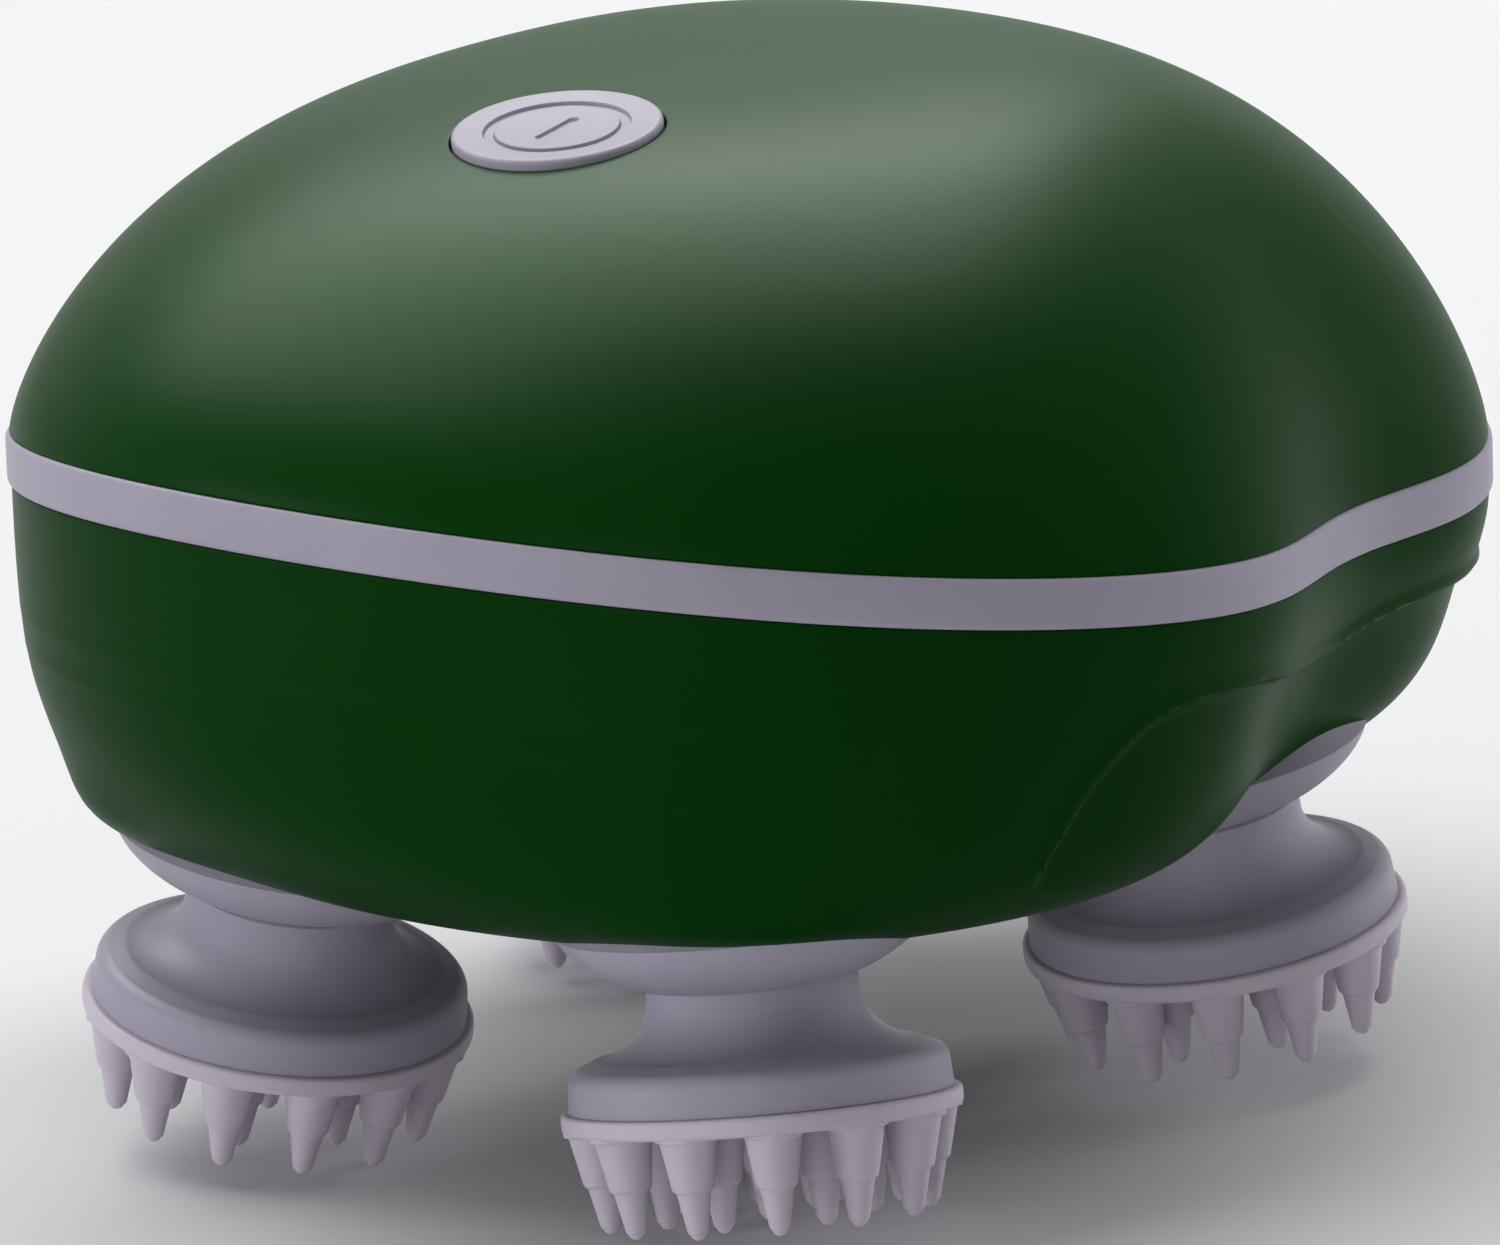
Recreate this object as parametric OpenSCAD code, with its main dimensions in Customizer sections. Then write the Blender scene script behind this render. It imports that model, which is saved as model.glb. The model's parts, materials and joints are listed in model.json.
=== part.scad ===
// Electric scalp massager with four kneading heads under a rounded hand-held body.
// The front, where the button is, faces +X, the left side faces +Y and up is +Z.
// The origin lies on the table, under the middle of the body. All sizes are in millimetres.

/* [Body] */
// Length of the body at its seam, front to back
body_length = 117.5; // [112:0.5:124]
// Width that the body would have at its seam without a waist
body_width = 105.6; // [100:0.2:112]
// Roundness of the seam outline, where 2 is an ellipse
outline_power = 2.16; // [2:0.02:2.4]
// How far each flank is drawn in at the waist
waist_depth = 6.4; // [0:0.2:7.4]
// Place of the waist behind the middle of the body
waist_back = 13.5; // [5:0.5:20]
// Reach of the waist along each flank
waist_reach = 18; // [14:1:24]
// Thickness of both shells
wall = 2.2; // [1.8:0.1:2.6]

/* [Seam and band] */
// Height of the seam above the flat underside, at the middle of the body
seam_height = 26.2; // [24:0.1:28]
// Rise of the seam towards the front
seam_rise = 6.3; // [4:0.1:9]
// Extra lift of the seam at both ends
seam_curl = 3.7; // [0:0.1:5]
// Height of the coloured band
band_height = 3.9; // [3:0.1:5]
// How far the band stands out of the shells
band_proud = 0.3; // [0.1:0.1:0.8]
// Thickness of the band
band_thickness = 1.7; // [1.3:0.1:1.9]
// Height of the lip on the lower shell behind the band
lip_height = 2.5; // [1.5:0.1:3]

/* [Dome] */
// Height of the top of the dome above the flat underside
dome_height = 59.5; // [57:0.1:62]
// Place of the highest point in front of the middle
dome_apex = 3; // [-2:0.5:6]
// Fullness of the dome across
dome_full = 3.15; // [2.4:0.05:3.6]
// Fullness of the dome towards its crown
dome_crown = 1.42; // [1.3:0.02:1.9]

/* [Lower shell] */
// Fullness of the lower shell across
tub_full = 4; // [3:0.1:5]
// Fullness of the lower shell towards its underside
tub_floor = 3.9; // [2.8:0.1:4.2]
// How far the rounded underside would reach below its flat face
tub_round = 0.8; // [0.6:0.1:1.6]
// Place of the underside's middle behind the middle of the body
tub_back = 3.2; // [0:0.2:6]
// Depth of the finger grip on each flank
grip_depth = 4.6; // [0:0.1:6]
// Place of the finger grips behind the middle of the body
grip_back = 25; // [18:0.5:30]
// Reach of each finger grip along the flank
grip_reach = 38; // [22:1:40]
// Depth of the swelling of the lower shell in front of each front collar
swell_depth = 2.4; // [0:0.2:3]

/* [Button] */
// Radius of the power button
button_r = 7.9; // [6:0.1:9]
// Place of the button in front of the middle of the body
button_x = 24; // [19:0.5:26]
// How far the button can be pressed
button_travel = 0.8; // [0.4:0.1:1]
// Height of the button above the dome around it
button_proud = 0.35; // [0.1:0.05:0.8]
// Gap round the button
button_gap = 0.15; // [0.1:0.05:0.3]
// Radius of the ring of the power sign
sign_r = 5.1; // [3.5:0.1:5.5]
// Width of the grooves of the power sign
sign_line = 0.8; // [0.5:0.1:1]
// Depth of the grooves of the power sign
sign_depth = 0.25; // [0.1:0.05:0.4]

/* [Heads] */
// Distance of the front heads in front of the middle
front_head_x = 32.4; // [31:0.1:34]
// Distance of each front head from the centre line
front_head_y = 21.4; // [20.6:0.1:23]
// Distance of the rear heads behind the middle
rear_head_x = 19.9; // [18.6:0.1:21.6]
// Distance of each rear head from the centre line
rear_head_y = 25.8; // [24.4:0.1:26.6]
// Angle by which each spindle leans outward
splay = 9.7; // [6:0.1:10.4]
// Direction of that lean, measured from the long axis
splay_heading = 62; // [54:1:70]
// Angle by which each head rocks on its spindle
swash = 4.5; // [0:0.1:5]
// Radius of the head disc at its rim
disc_r = 14.9; // [13.6:0.1:15.6]
// Radius of the neck of each head
neck_r = 7.9; // [7:0.1:8.4]
// Distance from the collar's mouth to the underside of the head disc
disc_drop = 9.1; // [8.8:0.1:10]
// Height of the disc's side wall
disc_wall = 2; // [1.4:0.1:3]
// Thickness of the rim of the finger pad
pad_rim = 1.5; // [1.2:0.1:1.9]

/* [Fingers] */
// Length of each finger
finger_length = 7.6; // [6:0.1:8.6]
// Radius of a finger at its root
finger_root_r = 2.1; // [1.8:0.1:2.4]
// Radius of a finger just above its step
finger_step_r = 1.56; // [1.4:0.02:1.7]
// Width of the step on a finger
finger_step = 0.28; // [0.1:0.02:0.34]
// Radius of a finger's round tip
finger_tip_r = 0.65; // [0.5:0.05:0.9]
// Number of fingers in the outer ring
outer_fingers = 12; // [8:1:12]
// Number of fingers in the inner ring
inner_fingers = 6; // [4:1:6]
// Radius of the outer ring at the finger roots
outer_ring_r = 12.3; // [11.5:0.1:12.8]
// Radius of the inner ring at the finger roots
inner_ring_r = 7.6; // [6.5:0.1:8]
// Angle by which the fingers lean inward
finger_lean = 4; // [0:0.5:6]

/* [Collars] */
// Radius of each collar where it enters the body
collar_r = 14.1; // [13.6:0.1:14.8]
// Height that the round bowl of the collar would have as a full half ellipse
collar_bowl = 7.1; // [6:0.1:8]
// How far the collar narrows above its bowl
collar_taper = 3; // [1.5:0.1:3.4]
// Gap between a collar's mouth and the neck
mouth_gap = 0.45; // [0.4:0.05:0.8]
// Outer radius of the bush in each collar
bush_r = 4.2; // [3.8:0.1:4.6]
// Length of each bush
bush_length = 5.5; // [4:0.1:6]
// Thickness of the seal under each bush
seal_height = 1.4; // [1:0.1:2]

/* [Spindles] */
// Radius of the spindle in its bush
spindle_r = 2.5; // [2:0.1:3]
// Radius of the stub that carries the head disc
stub_r = 2; // [1.6:0.1:2.3]
// Distance from the collar's mouth to the centre of the drive ball
ball_rise = 13.4; // [12.8:0.1:14]
// Radius of the drive ball
ball_r = 3.2; // [2.8:0.1:3.6]
// Radius of the cross pin through the ball
cross_pin_r = 0.8; // [0.6:0.05:1]
// Half the length of the cross pin
cross_pin_reach = 4.4; // [4:0.1:4.6]

/* [Gear train] */
// Number of teeth on the centre gear
centre_teeth = 46; // [45:1:50]
// Number of teeth on each head gear
head_teeth = 22; // [20:1:23]
// Number of teeth on the motor pinion
pinion_teeth = 12; // [12:1:14]
// Width of the teeth
tooth_width = 5; // [3:0.5:6]
// Pressure angle of the teeth
pressure_angle = 25; // [22:1:26]
// Play between meshed teeth
tooth_play = 0.16; // [0.1:0.02:0.25]
// Outer radius of the drive cup on each head gear
cup_r = 6; // [5.6:0.1:6.4]
// Radius of the upper journal on each head gear
journal_r = 3; // [2.5:0.1:4]
// Radius of the fixed axle under the centre gear
axle_r = 1.5; // [1.2:0.1:2]

/* [Chassis] */
// Thickness of both chassis plates
plate = 2.5; // [2:0.1:3]
// Gap between the head gears and each plate
gear_gap = 0.4; // [0.3:0.05:0.6]
// Margin of the plates round the gears
plate_margin = 1.8; // [1.2:0.1:2]
// Radius of the chassis pillars
pillar_r = 3; // [2.6:0.1:3.6]
// Running gap of every turning joint
running_gap = 0.05; // [0.02:0.01:0.08]
// Gap between fixed pieces
fit_gap = 0.1; // [0.05:0.01:0.2]

/* [Motor and battery] */
// Radius of the gearbox on the motor
gearbox_r = 12; // [10:0.5:12]
// Height of the gearbox
gearbox_height = 10; // [8:0.5:11]
// Radius of the motor can
motor_r = 10; // [8:0.5:10.5]
// Height of the motor can
motor_height = 16; // [12:0.5:17]
// Radius of the gearbox's output shaft
shaft_r = 2; // [1.5:0.1:2.5]
// Radius of the battery cell
cell_r = 9; // [7:0.5:9.2]
// Length of the battery cell
cell_length = 50; // [44:1:52]
// Place of the battery in front of the middle
cell_x = 20; // [18:0.5:21]

/* [Electronics] */
// Thickness of the circuit boards
board = 1.2; // [1:0.1:1.6]
// Length of the control board across the body
board_length = 44; // [36:1:50]
// Gap from the control board to the battery cradle and to the gearbox
board_gap = 2; // [1:0.5:4]
// Height of the control board over the chassis cover
board_rise = 3; // [2:0.5:5]
// Side of the largest chip on the control board
chip = 7; // [5:0.5:9]
// Side of the power switch
switch_size = 6; // [5:0.5:7]
// Height of the power switch
switch_height = 3.4; // [3:0.1:4]
// Radius of the charging socket
socket_r = 4; // [3.5:0.1:4.5]
// Radius of the opening in the charging socket
socket_bore = 1.75; // [1.5:0.05:1.9]
// Height of the charging socket above the flat underside
socket_rise = 12; // [10:0.5:13]

/* [Fasteners] */
// Thread radius of the case screws
screw_r = 1.25; // [1:0.05:1.5]
// Head radius of the case screws
screw_head_r = 2.3; // [2:0.1:2.5]
// Head height of the case screws
screw_head = 1.4; // [1:0.1:1.8]
// Radius of the posts that take the case screws
post_r = 3.4; // [3:0.1:4]

/* [Hidden] */
$fn = 64;

green = [0.02, 0.17, 0.05];
lavender = [0.66, 0.64, 0.70];
steel = [0.75, 0.76, 0.78];
nylon = [0.90, 0.89, 0.84];
bronze = [0.72, 0.52, 0.26];
dark = [0.12, 0.12, 0.13];
board_green = [0.05, 0.35, 0.20];

// Each head: its side along X and Y, the heading of its rock and the turn of its fingers.
HEADS = ["front_left", "front_right", "rear_left", "rear_right"];
side_x = [1, 1, -1, -1];
side_y = [1, -1, 1, -1];
rock_heading = [18, 200, 247, 160];
finger_turn = [10, 21, 3, 24];

half_length = body_length / 2;
half_width = body_width / 2;

// Points round each shell, rows up the outside and rows up the inside.
around = 80;
outer_rows = 15;
inner_rows = 8;

// A vector leaned by an angle, so that its lower end goes towards a heading.
function turned(v, a) = [v.x * cos(a) - v.y * sin(a), v.x * sin(a) + v.y * cos(a), v.z];
function leaned(v, angle, heading) =
    let (w = turned(v, -heading))
    turned([w.x * cos(angle) - w.z * sin(angle), w.y, w.x * sin(angle) + w.z * cos(angle)],
        heading);
function head_heading(i) =
    atan2(side_y[i] * sin(splay_heading), side_x[i] * cos(splay_heading));
function head_point(v, i) = leaned(v, splay, head_heading(i));

// Depth of a head's lowest finger tip below its pivot, which sets how high the body stands.
tip_centre_z = -(disc_drop + pad_rim + (finger_length - finger_tip_r) * cos(finger_lean));
tip_ring_r = outer_ring_r - (finger_length - finger_tip_r) * sin(finger_lean);
function tip_drop(i) = max([for (k = [0:outer_fingers - 1])
    finger_tip_r - head_point(leaned([
        tip_ring_r * cos(finger_angle(i, k)), tip_ring_r * sin(finger_angle(i, k)),
        tip_centre_z], swash, rock_heading[i]), i).z]);
function finger_angle(i, k) = finger_turn[i] + k * 360 / outer_fingers;
pivot_z = max([for (i = [0:3]) tip_drop(i)]);
function pivot(i) = [side_x[i] > 0 ? front_head_x : -rear_head_x,
    side_y[i] * (side_x[i] > 0 ? front_head_y : rear_head_y), pivot_z];

// Heights above the table.
mouth_to_floor = 1.1;
floor_z = pivot_z + mouth_to_floor;
top_z = floor_z + dome_height;

// Outline of the seam at an angle, a distance inside the outer face.
function power(v, p) = sign(v) * pow(abs(v), p);
function rim_x(a, inset) = (half_length - inset) * power(cos(a), 2 / outline_power);
function rim_y(a, inset) = (half_width - inset) * power(sin(a), 2 / outline_power);
function hollow(x, place, reach) = exp(-pow((x + place) / reach, 2));
function waist(x) = waist_depth / half_width * hollow(x, waist_back, waist_reach);
function seam_z(x) = floor_z + seam_height + seam_rise * x / half_length
    + seam_curl * pow(x / half_length, 2);

// A point of the dome: h climbs from 0 at the seam to 1 at the crown.
function dome_point(a, h, inset) =
    let (x = rim_x(a, inset), r = pow(max(0, 1 - pow(h, dome_crown)), 1 / dome_full))
    [dome_apex + (x - dome_apex) * r,
     rim_y(a, inset) * (1 - waist(x) * (1 - h)) * r,
     (seam_z(x) + band_height / 2) * (1 - h) + (top_z - inset) * h];

// A point of the lower shell: h goes down from 0 at the seam to 1 at the underside.
grip_start = 0.35;
function grip(x, h) = grip_depth / half_width * hollow(x, grip_back, grip_reach)
    * (1 - exp(-pow(h / grip_start, 2)));
swell_angle = 36;
function away(a) = abs(abs((a + 180) % 360 - 180) - swell_angle);
function swell(a, h) = swell_depth / half_width * exp(-pow(away(a) / 12, 2))
    * exp(-pow((h - 0.8) / 0.13, 2));
function tub_point(a, h, inset) =
    let (x = rim_x(a, inset),
         r = pow(max(0, 1 - pow(h, tub_floor)), 1 / tub_full) * (1 + swell(a, h)))
    [tub_back * (r - 1) + x * r, rim_y(a, inset) * (1 - waist(x) - grip(x, h)) * r,
     (seam_z(x) - band_height / 2) * (1 - h) + (floor_z - tub_round + inset) * h];
// A point of a ring that follows the seam, at an inset and a height from the seam.
function seam_point(a, inset, rise) =
    let (x = rim_x(a, inset))
    [x, rim_y(a, inset) * (1 - waist(x)), seam_z(x) + rise];

function climb(t) = pow(sin(90 * t), 1.25);
function keep_above(p, z) = [p.x, p.y, max(p.z, z)];

// A closed skin over rows of points, with a single point at each end.
module skin(rows, first, last) {
    n = len(rows[0]);
    m = len(rows);
    points = concat([first], [for (row = rows) each row], [last]);
    faces = concat(
        [for (k = [0:n - 1]) [0, 1 + (k + 1) % n, 1 + k]],
        [for (j = [0:m - 2], k = [0:n - 1], half = [0, 1])
            let (a = 1 + j * n + k, b = 1 + j * n + (k + 1) % n, c = a + n, d = b + n)
            half == 0 ? [a, b, d] : [a, d, c]],
        [for (k = [0:n - 1]) [1 + m * n, 1 + (m - 1) * n + k, 1 + (m - 1) * n + (k + 1) % n]]);
    polyhedron(points, faces, convexity = 6);
}
// A closed ring that follows the seam, from the corners of its section.
module seam_ring(corners) {
    n = around;
    m = len(corners);
    points = [for (c = corners, k = [0:n - 1]) seam_point(k * 360 / n, c[0], c[1])];
    faces = [for (j = [0:m - 1], k = [0:n - 1], half = [0, 1])
        let (a = j * n + k, b = j * n + (k + 1) % n, c = ((j + 1) % m) * n + k,
             d = ((j + 1) % m) * n + (k + 1) % n)
        half == 0 ? [a, d, b] : [a, c, d]];
    polyhedron(points, faces, convexity = 8);
}
function ring_angles() = [for (k = [0:around - 1]) k * 360 / around];

// Places of a child in the frame of a head's collar, or of its rocking disc.
module lean_to(angle, heading) {
    rotate([0, 0, heading]) rotate([0, -angle, 0]) rotate([0, 0, -heading]) children();
}
module at_collar(i) {
    translate(pivot(i)) lean_to(splay, head_heading(i)) children();
}
module at_disc(i) {
    at_collar(i) lean_to(swash, rock_heading[i]) children();
}

// Gear places: each head gear stands upright over its drive ball, and the centre gear
// lies on the centre line at the same distance from all four.
function gear_place(i) = pivot(i) + head_point([0, 0, ball_rise], i);
front_gear = gear_place(0);
rear_gear = gear_place(2);
centre_x = (pow(front_gear.x, 2) + pow(front_gear.y, 2) - pow(rear_gear.x, 2)
    - pow(rear_gear.y, 2)) / (2 * (front_gear.x - rear_gear.x));
centre_distance = norm([front_gear.x - centre_x, front_gear.y]);
tooth_module = 2 * centre_distance / (centre_teeth + head_teeth);
pinion_x = centre_x - tooth_module * (centre_teeth + pinion_teeth) / 2;
ball_z = front_gear.z;

// Levels of the gear train.
cup_depth = ball_r + 0.3;
cup_reach = 2.9;
base_z = ball_z - cup_reach + 0.4;
teeth_z = base_z + plate + gear_gap;
cover_z = teeth_z + tooth_width + gear_gap;
deck_z = cover_z + plate;

// Involute gear outline with its teeth centred on the angle "turn".
function involute(a) = tan(a) * 180 / PI - a;
function half_tooth(teeth, r) =
    let (pitch_r = tooth_module * teeth / 2, base_r = pitch_r * cos(pressure_angle),
         a = r > base_r ? acos(base_r / r) : 0)
    90 / teeth + involute(pressure_angle) - involute(a)
        - tooth_play / 4 / pitch_r * 180 / PI;
flank_steps = 3;
function gear_outline(teeth, turn) =
    let (pitch_r = tooth_module * teeth / 2, base_r = pitch_r * cos(pressure_angle),
         root_r = pitch_r - 1.25 * tooth_module, tip_r = pitch_r + tooth_module,
         low_r = max(base_r, root_r),
         radii = [for (s = [0:flank_steps]) low_r + (tip_r - low_r) * s / flank_steps])
    [for (k = [0:teeth - 1])
        let (c = turn + k * 360 / teeth, h0 = half_tooth(teeth, low_r))
        each concat([[root_r, c - h0]],
            [for (r = radii) [r, c - half_tooth(teeth, r)]],
            [for (s = [flank_steps:-1:0]) [radii[s], c + half_tooth(teeth, radii[s])]],
            [[root_r, c + h0]])];
module gear_teeth(teeth, turn) {
    polygon([for (p = gear_outline(teeth, turn)) [p[0] * cos(p[1]), p[0] * sin(p[1])]]);
}
// Turn of a gear that meshes with the centre gear at a heading from the centre.
function mesh_turn(heading, teeth) =
    heading + 180 - 180 / teeth + heading * centre_teeth / teeth;
function gear_heading(i) = atan2(gear_place(i).y, gear_place(i).x - centre_x);

// Height of the dome's outer face over a place, used to end the posts inside its wall.
function dome_z(x, y) =
    let (v = x - dome_apex, reach = half_length - sign(v) * dome_apex,
         s = pow(pow(abs(v) / reach, outline_power)
             + pow(abs(y) / (half_width * (1 - waist(x))), outline_power), 1 / outline_power),
         h = pow(max(0, 1 - pow(min(1, s), dome_full)), 1 / dome_crown))
    (seam_z(dome_apex + v / max(s, 0.01)) + band_height / 2) * (1 - h) + top_z * h;

case_posts = [[38, 0], [-0.75 * half_length, 0], [-1, 31.5], [-1, -31.5]];
chassis_posts = [[10, 30], [10, -30], [-38, 9], [-38, -9]];
post_foot = floor_z + 1.9;
post_split = seam_z(0) - band_height;

// Frame of the button: its origin is on the dome and its Z is the way it is pressed out.
button_z = dome_z(button_x, 0);
button_tilt = atan((dome_z(button_x - 5, 0) - dome_z(button_x + 5, 0)) / 10);
module at_button() {
    translate([button_x, 0, button_z]) rotate([0, button_tilt, 0]) children();
}
flange_top = -wall - 1.3;
flange_height = 1;
flange_r = button_r + 1.3;
dish = 0.3;
stem_r = 1.6;
plunger_r = switch_size / 4;
plunger_height = 1;
switch_depth = wall + board + switch_height + 3.8;
switch_screw_r = 0.36 * screw_r + 0.45;
switch_post_r = 2 * switch_screw_r;
switch_post_y = flange_r + switch_post_r + 0.3;

module upper_shell() {
    color(green) difference() {
        union() {
            skin(concat(
                [for (j = [outer_rows - 1:-1:0]) [for (a = ring_angles())
                    dome_point(a, climb(j / outer_rows), 0)]],
                [for (j = [0:inner_rows - 1]) [for (a = ring_angles())
                    dome_point(a, climb(j / inner_rows), wall)]]),
                [dome_apex, 0, top_z], [dome_apex, 0, top_z - wall]);
            for (p = case_posts)
                translate([p.x, p.y, post_split])
                    cylinder(r = post_r, h = post_top(p) - post_split);
            for (side = [-1, 1])
                at_button() translate([0, side * switch_post_y, board - switch_depth])
                    cylinder(r = switch_post_r, h = switch_depth - board - 1.4);
        }
        at_button() translate([0, 0, -wall * 2]) cylinder(r = button_r + button_gap, h = wall * 3);
        for (p = case_posts)
            translate([p.x, p.y, post_split - 1]) cylinder(r = screw_r, h = 12);
        for (side = [-1, 1])
            at_button() translate([0, side * switch_post_y, -switch_depth])
                cylinder(r = switch_screw_r, h = board + 4.5);
    }
}
// Top of a case post, just inside the outer face of the dome at the post's far edge.
function post_top(p) =
    let (far = norm(p), u = (far + post_r + 0.6) / far)
    dome_z(p.x * u, p.y * u) - 0.5;

module lower_shell() {
    inner_floor = floor_z + wall;
    lip_top = lip_height - band_height / 2;
    lip_inset = band_thickness - band_proud;
    color(green) difference() {
        union() {
            skin(concat(
                [for (j = [0:inner_rows - 1]) [for (a = ring_angles())
                    keep_above(tub_point(a, climb(1 - (j + 1) / inner_rows), wall),
                        inner_floor)]],
                [[for (a = ring_angles()) seam_point(a, wall, lip_top)]],
                [[for (a = ring_angles()) seam_point(a, lip_inset, lip_top)]],
                [[for (a = ring_angles()) seam_point(a, lip_inset, -band_height / 2)]],
                [for (j = [0:outer_rows - 1]) [for (a = ring_angles())
                    tub_point(a, climb(j / outer_rows), 0)]]),
                [0, 0, inner_floor], [0, 0, floor_z - tub_round]);
            for (p = case_posts)
                translate([p.x, p.y, post_foot]) cylinder(r = post_r, h = post_split - post_foot);
            for (p = chassis_posts)
                translate([p.x, p.y, post_foot]) cylinder(r = pillar_r, h = base_z - post_foot);
        }
        translate([-half_length, -half_width, floor_z - 2 * tub_round])
            cube([body_length, body_width, 2 * tub_round]);
        for (i = [0:3])
            at_collar(i) rotate_extrude() polygon(concat([[0, 0]], bowl(fit_gap),
                [[collar_r - collar_taper + fit_gap, collar_top + fit_gap],
                 [collar_r - collar_taper + fit_gap, 20], [0, 20]]));
        for (p = case_posts) {
            translate([p.x, p.y, floor_z - 1]) cylinder(r = screw_r + 0.15, h = 40);
            translate([p.x, p.y, floor_z - 1]) cylinder(r = screw_head_r + 0.2, h = 1 + screw_seat);
        }
        for (p = chassis_posts)
            translate([p.x, p.y, base_z - 5]) cylinder(r = screw_r, h = 6);
        translate([-half_length - 2, 0, floor_z + socket_rise])
            rotate([0, 90, 0]) cylinder(r = socket_r + fit_gap, h = socket_length);
    }
}
screw_seat = 4;

module trim_band() {
    h = band_height / 2;
    soft = 0.45;
    color(lavender) seam_ring([[band_thickness - band_proud, -h], [-band_proud + soft, -h],
        [-band_proud, -h + soft], [-band_proud, h - soft], [-band_proud + soft, h],
        [band_thickness - band_proud, h]]);
}
module shell_gasket() {
    inner = wall - 0.1;
    color(dark) seam_ring([[inner, lip_height - band_height / 2],
        [band_thickness - band_proud + 0.05, lip_height - band_height / 2],
        [band_thickness - band_proud + 0.05, band_height / 2], [inner, band_height / 2]]);
}

// Height of the button's shallow dish at a radius.
function dish_z(r) = button_proud - dish * (1 - pow(r / button_r, 2));
module power_button() {
    ring_in = sign_r - sign_line / 2;
    ring_out = sign_r + sign_line / 2;
    soft = 0.3;
    edge = button_r - soft;
    color(lavender) at_button() difference() {
        rotate_extrude() polygon(concat(
            [for (s = [0:4]) [ring_in * s / 4, dish_z(ring_in * s / 4)]],
            [[ring_in, dish_z(ring_in) - sign_depth], [ring_out, dish_z(ring_in) - sign_depth]],
            [for (s = [0:3]) let (r = ring_out + (edge - ring_out) * s / 3) [r, dish_z(r)]],
            [for (a = [30:30:90]) [edge + soft * sin(a), dish_z(edge) - soft + soft * cos(a)]],
            [[button_r, flange_top], [flange_r, flange_top], [flange_r, flange_top - flange_height],
             [stem_r, flange_top - flange_height], [stem_r, plunger_top], [0, plunger_top]]));
        translate([-2.4, -sign_line / 2, dish_z(0) - sign_depth]) cube([4.8, sign_line, 2]);
    }
}
plunger_top = -switch_depth + board + switch_height + plunger_height;
module switch_plunger() {
    color(dark) at_button()
        translate([0, 0, plunger_top - plunger_height - button_travel])
            cylinder(r = plunger_r, h = plunger_height + button_travel);
}
module tact_switch() {
    color(steel) at_button() translate([0, 0, -switch_depth + board]) difference() {
        translate([-switch_size / 2, -switch_size / 2, 0])
            cube([switch_size, switch_size, switch_height]);
        translate([0, 0, switch_height - 2 * button_travel - 0.3])
            cylinder(r = plunger_r + 0.1, h = 2 * button_travel + 1);
    }
}
module switch_board() {
    reach = switch_post_y + switch_post_r + 0.4;
    color(board_green) at_button() translate([0, 0, -switch_depth]) difference() {
        translate([-switch_size, -reach, 0]) cube([2 * switch_size, 2 * reach, board]);
        for (side = [-1, 1])
            translate([0, side * switch_post_y, -1]) cylinder(r = switch_screw_r + 0.1, h = board + 2);
    }
}
module switch_screws() {
    color(steel) for (side = [-1, 1])
        at_button() translate([0, side * switch_post_y, -switch_depth]) union() {
            translate([0, 0, -0.8 * screw_head]) cylinder(r = 0.74 * screw_head_r, h = 0.8 * screw_head);
            cylinder(r = switch_screw_r, h = board + 4);
        }
}

// The control board lies between the battery cradle and the gearbox.
cradle_r = cell_r + 1;
board_z = deck_z + board_rise;
board_front = cell_x - cradle_r - board_gap;
board_rear = pinion_x + gearbox_r + board_gap;
board_width = board_front - board_rear;
board_x = (board_front + board_rear) / 2;
peg_r = 0.4 * pillar_r - 0.2;
board_posts = [for (x = [-1, 1], y = [-1, 1])
    [board_x + x * (board_width / 2 - 2 * peg_r), y * (board_length / 2 - 2 * peg_r)]];
module control_board() {
    color(board_green) difference() {
        translate([board_rear, -board_length / 2, board_z]) cube([board_width, board_length, board]);
        for (p = board_posts) translate([p.x, p.y, board_z - 1]) cylinder(r = peg_r + 0.05, h = board + 2);
    }
}
module board_components() {
    color(dark) translate([board_x, 0, board_z + board]) {
        translate([-chip / 2, -chip / 2, 0]) cube([chip, chip, 0.18 * chip]);
        translate([-0.6 * chip, board_length / 4, 0]) cube([0.9 * chip, 0.6 * chip, 0.22 * chip]);
        translate([0, -board_length / 3, 0]) cube([0.6 * chip, 0.45 * chip, 0.26 * chip]);
        translate([-0.4 * chip, -board_length / 3, 0]) cylinder(r = 0.28 * chip, h = 0.26 * chip);
    }
}

cell_z = deck_z + cell_r + 1.6;
module battery_cell() {
    color([0.15, 0.35, 0.75]) translate([cell_x, -cell_length / 2, cell_z])
        rotate([-90, 0, 0]) union() {
            cylinder(r = cell_r, h = cell_length - 1);
            cylinder(r = 2.6, h = cell_length);
        }
}
module battery_cradle() {
    color(dark) difference() {
        translate([cell_x - cradle_r, -0.4 * cell_length, deck_z])
            cube([2 * cradle_r, 0.8 * cell_length, cell_r * 0.7]);
        translate([cell_x, -cell_length, cell_z])
            rotate([-90, 0, 0]) cylinder(r = cell_r + 0.05, h = 2 * cell_length);
    }
}

module motor_can() {
    color(steel) translate([pinion_x, 0, deck_z + gearbox_height]) union() {
        cylinder(r = motor_r, h = motor_height);
        cylinder(r = 3, h = motor_height + 1.2);
    }
}
module motor_gearbox() {
    color(dark) translate([pinion_x, 0, deck_z]) difference() {
        cylinder(r = gearbox_r, h = gearbox_height);
        translate([0, 0, -1]) cylinder(r = shaft_r + running_gap, h = gearbox_height - 2);
    }
}
module drive_pinion() {
    color(nylon) translate([pinion_x, 0, 0]) union() {
        translate([0, 0, teeth_z]) linear_extrude(tooth_width)
            gear_teeth(pinion_teeth, mesh_turn(180, pinion_teeth));
        translate([0, 0, base_z + 0.4])
            cylinder(r = axle_r, h = teeth_z - base_z);
        translate([0, 0, teeth_z + 1])
            cylinder(r = shaft_r, h = deck_z + gearbox_height - 4 - teeth_z);
    }
}
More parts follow.
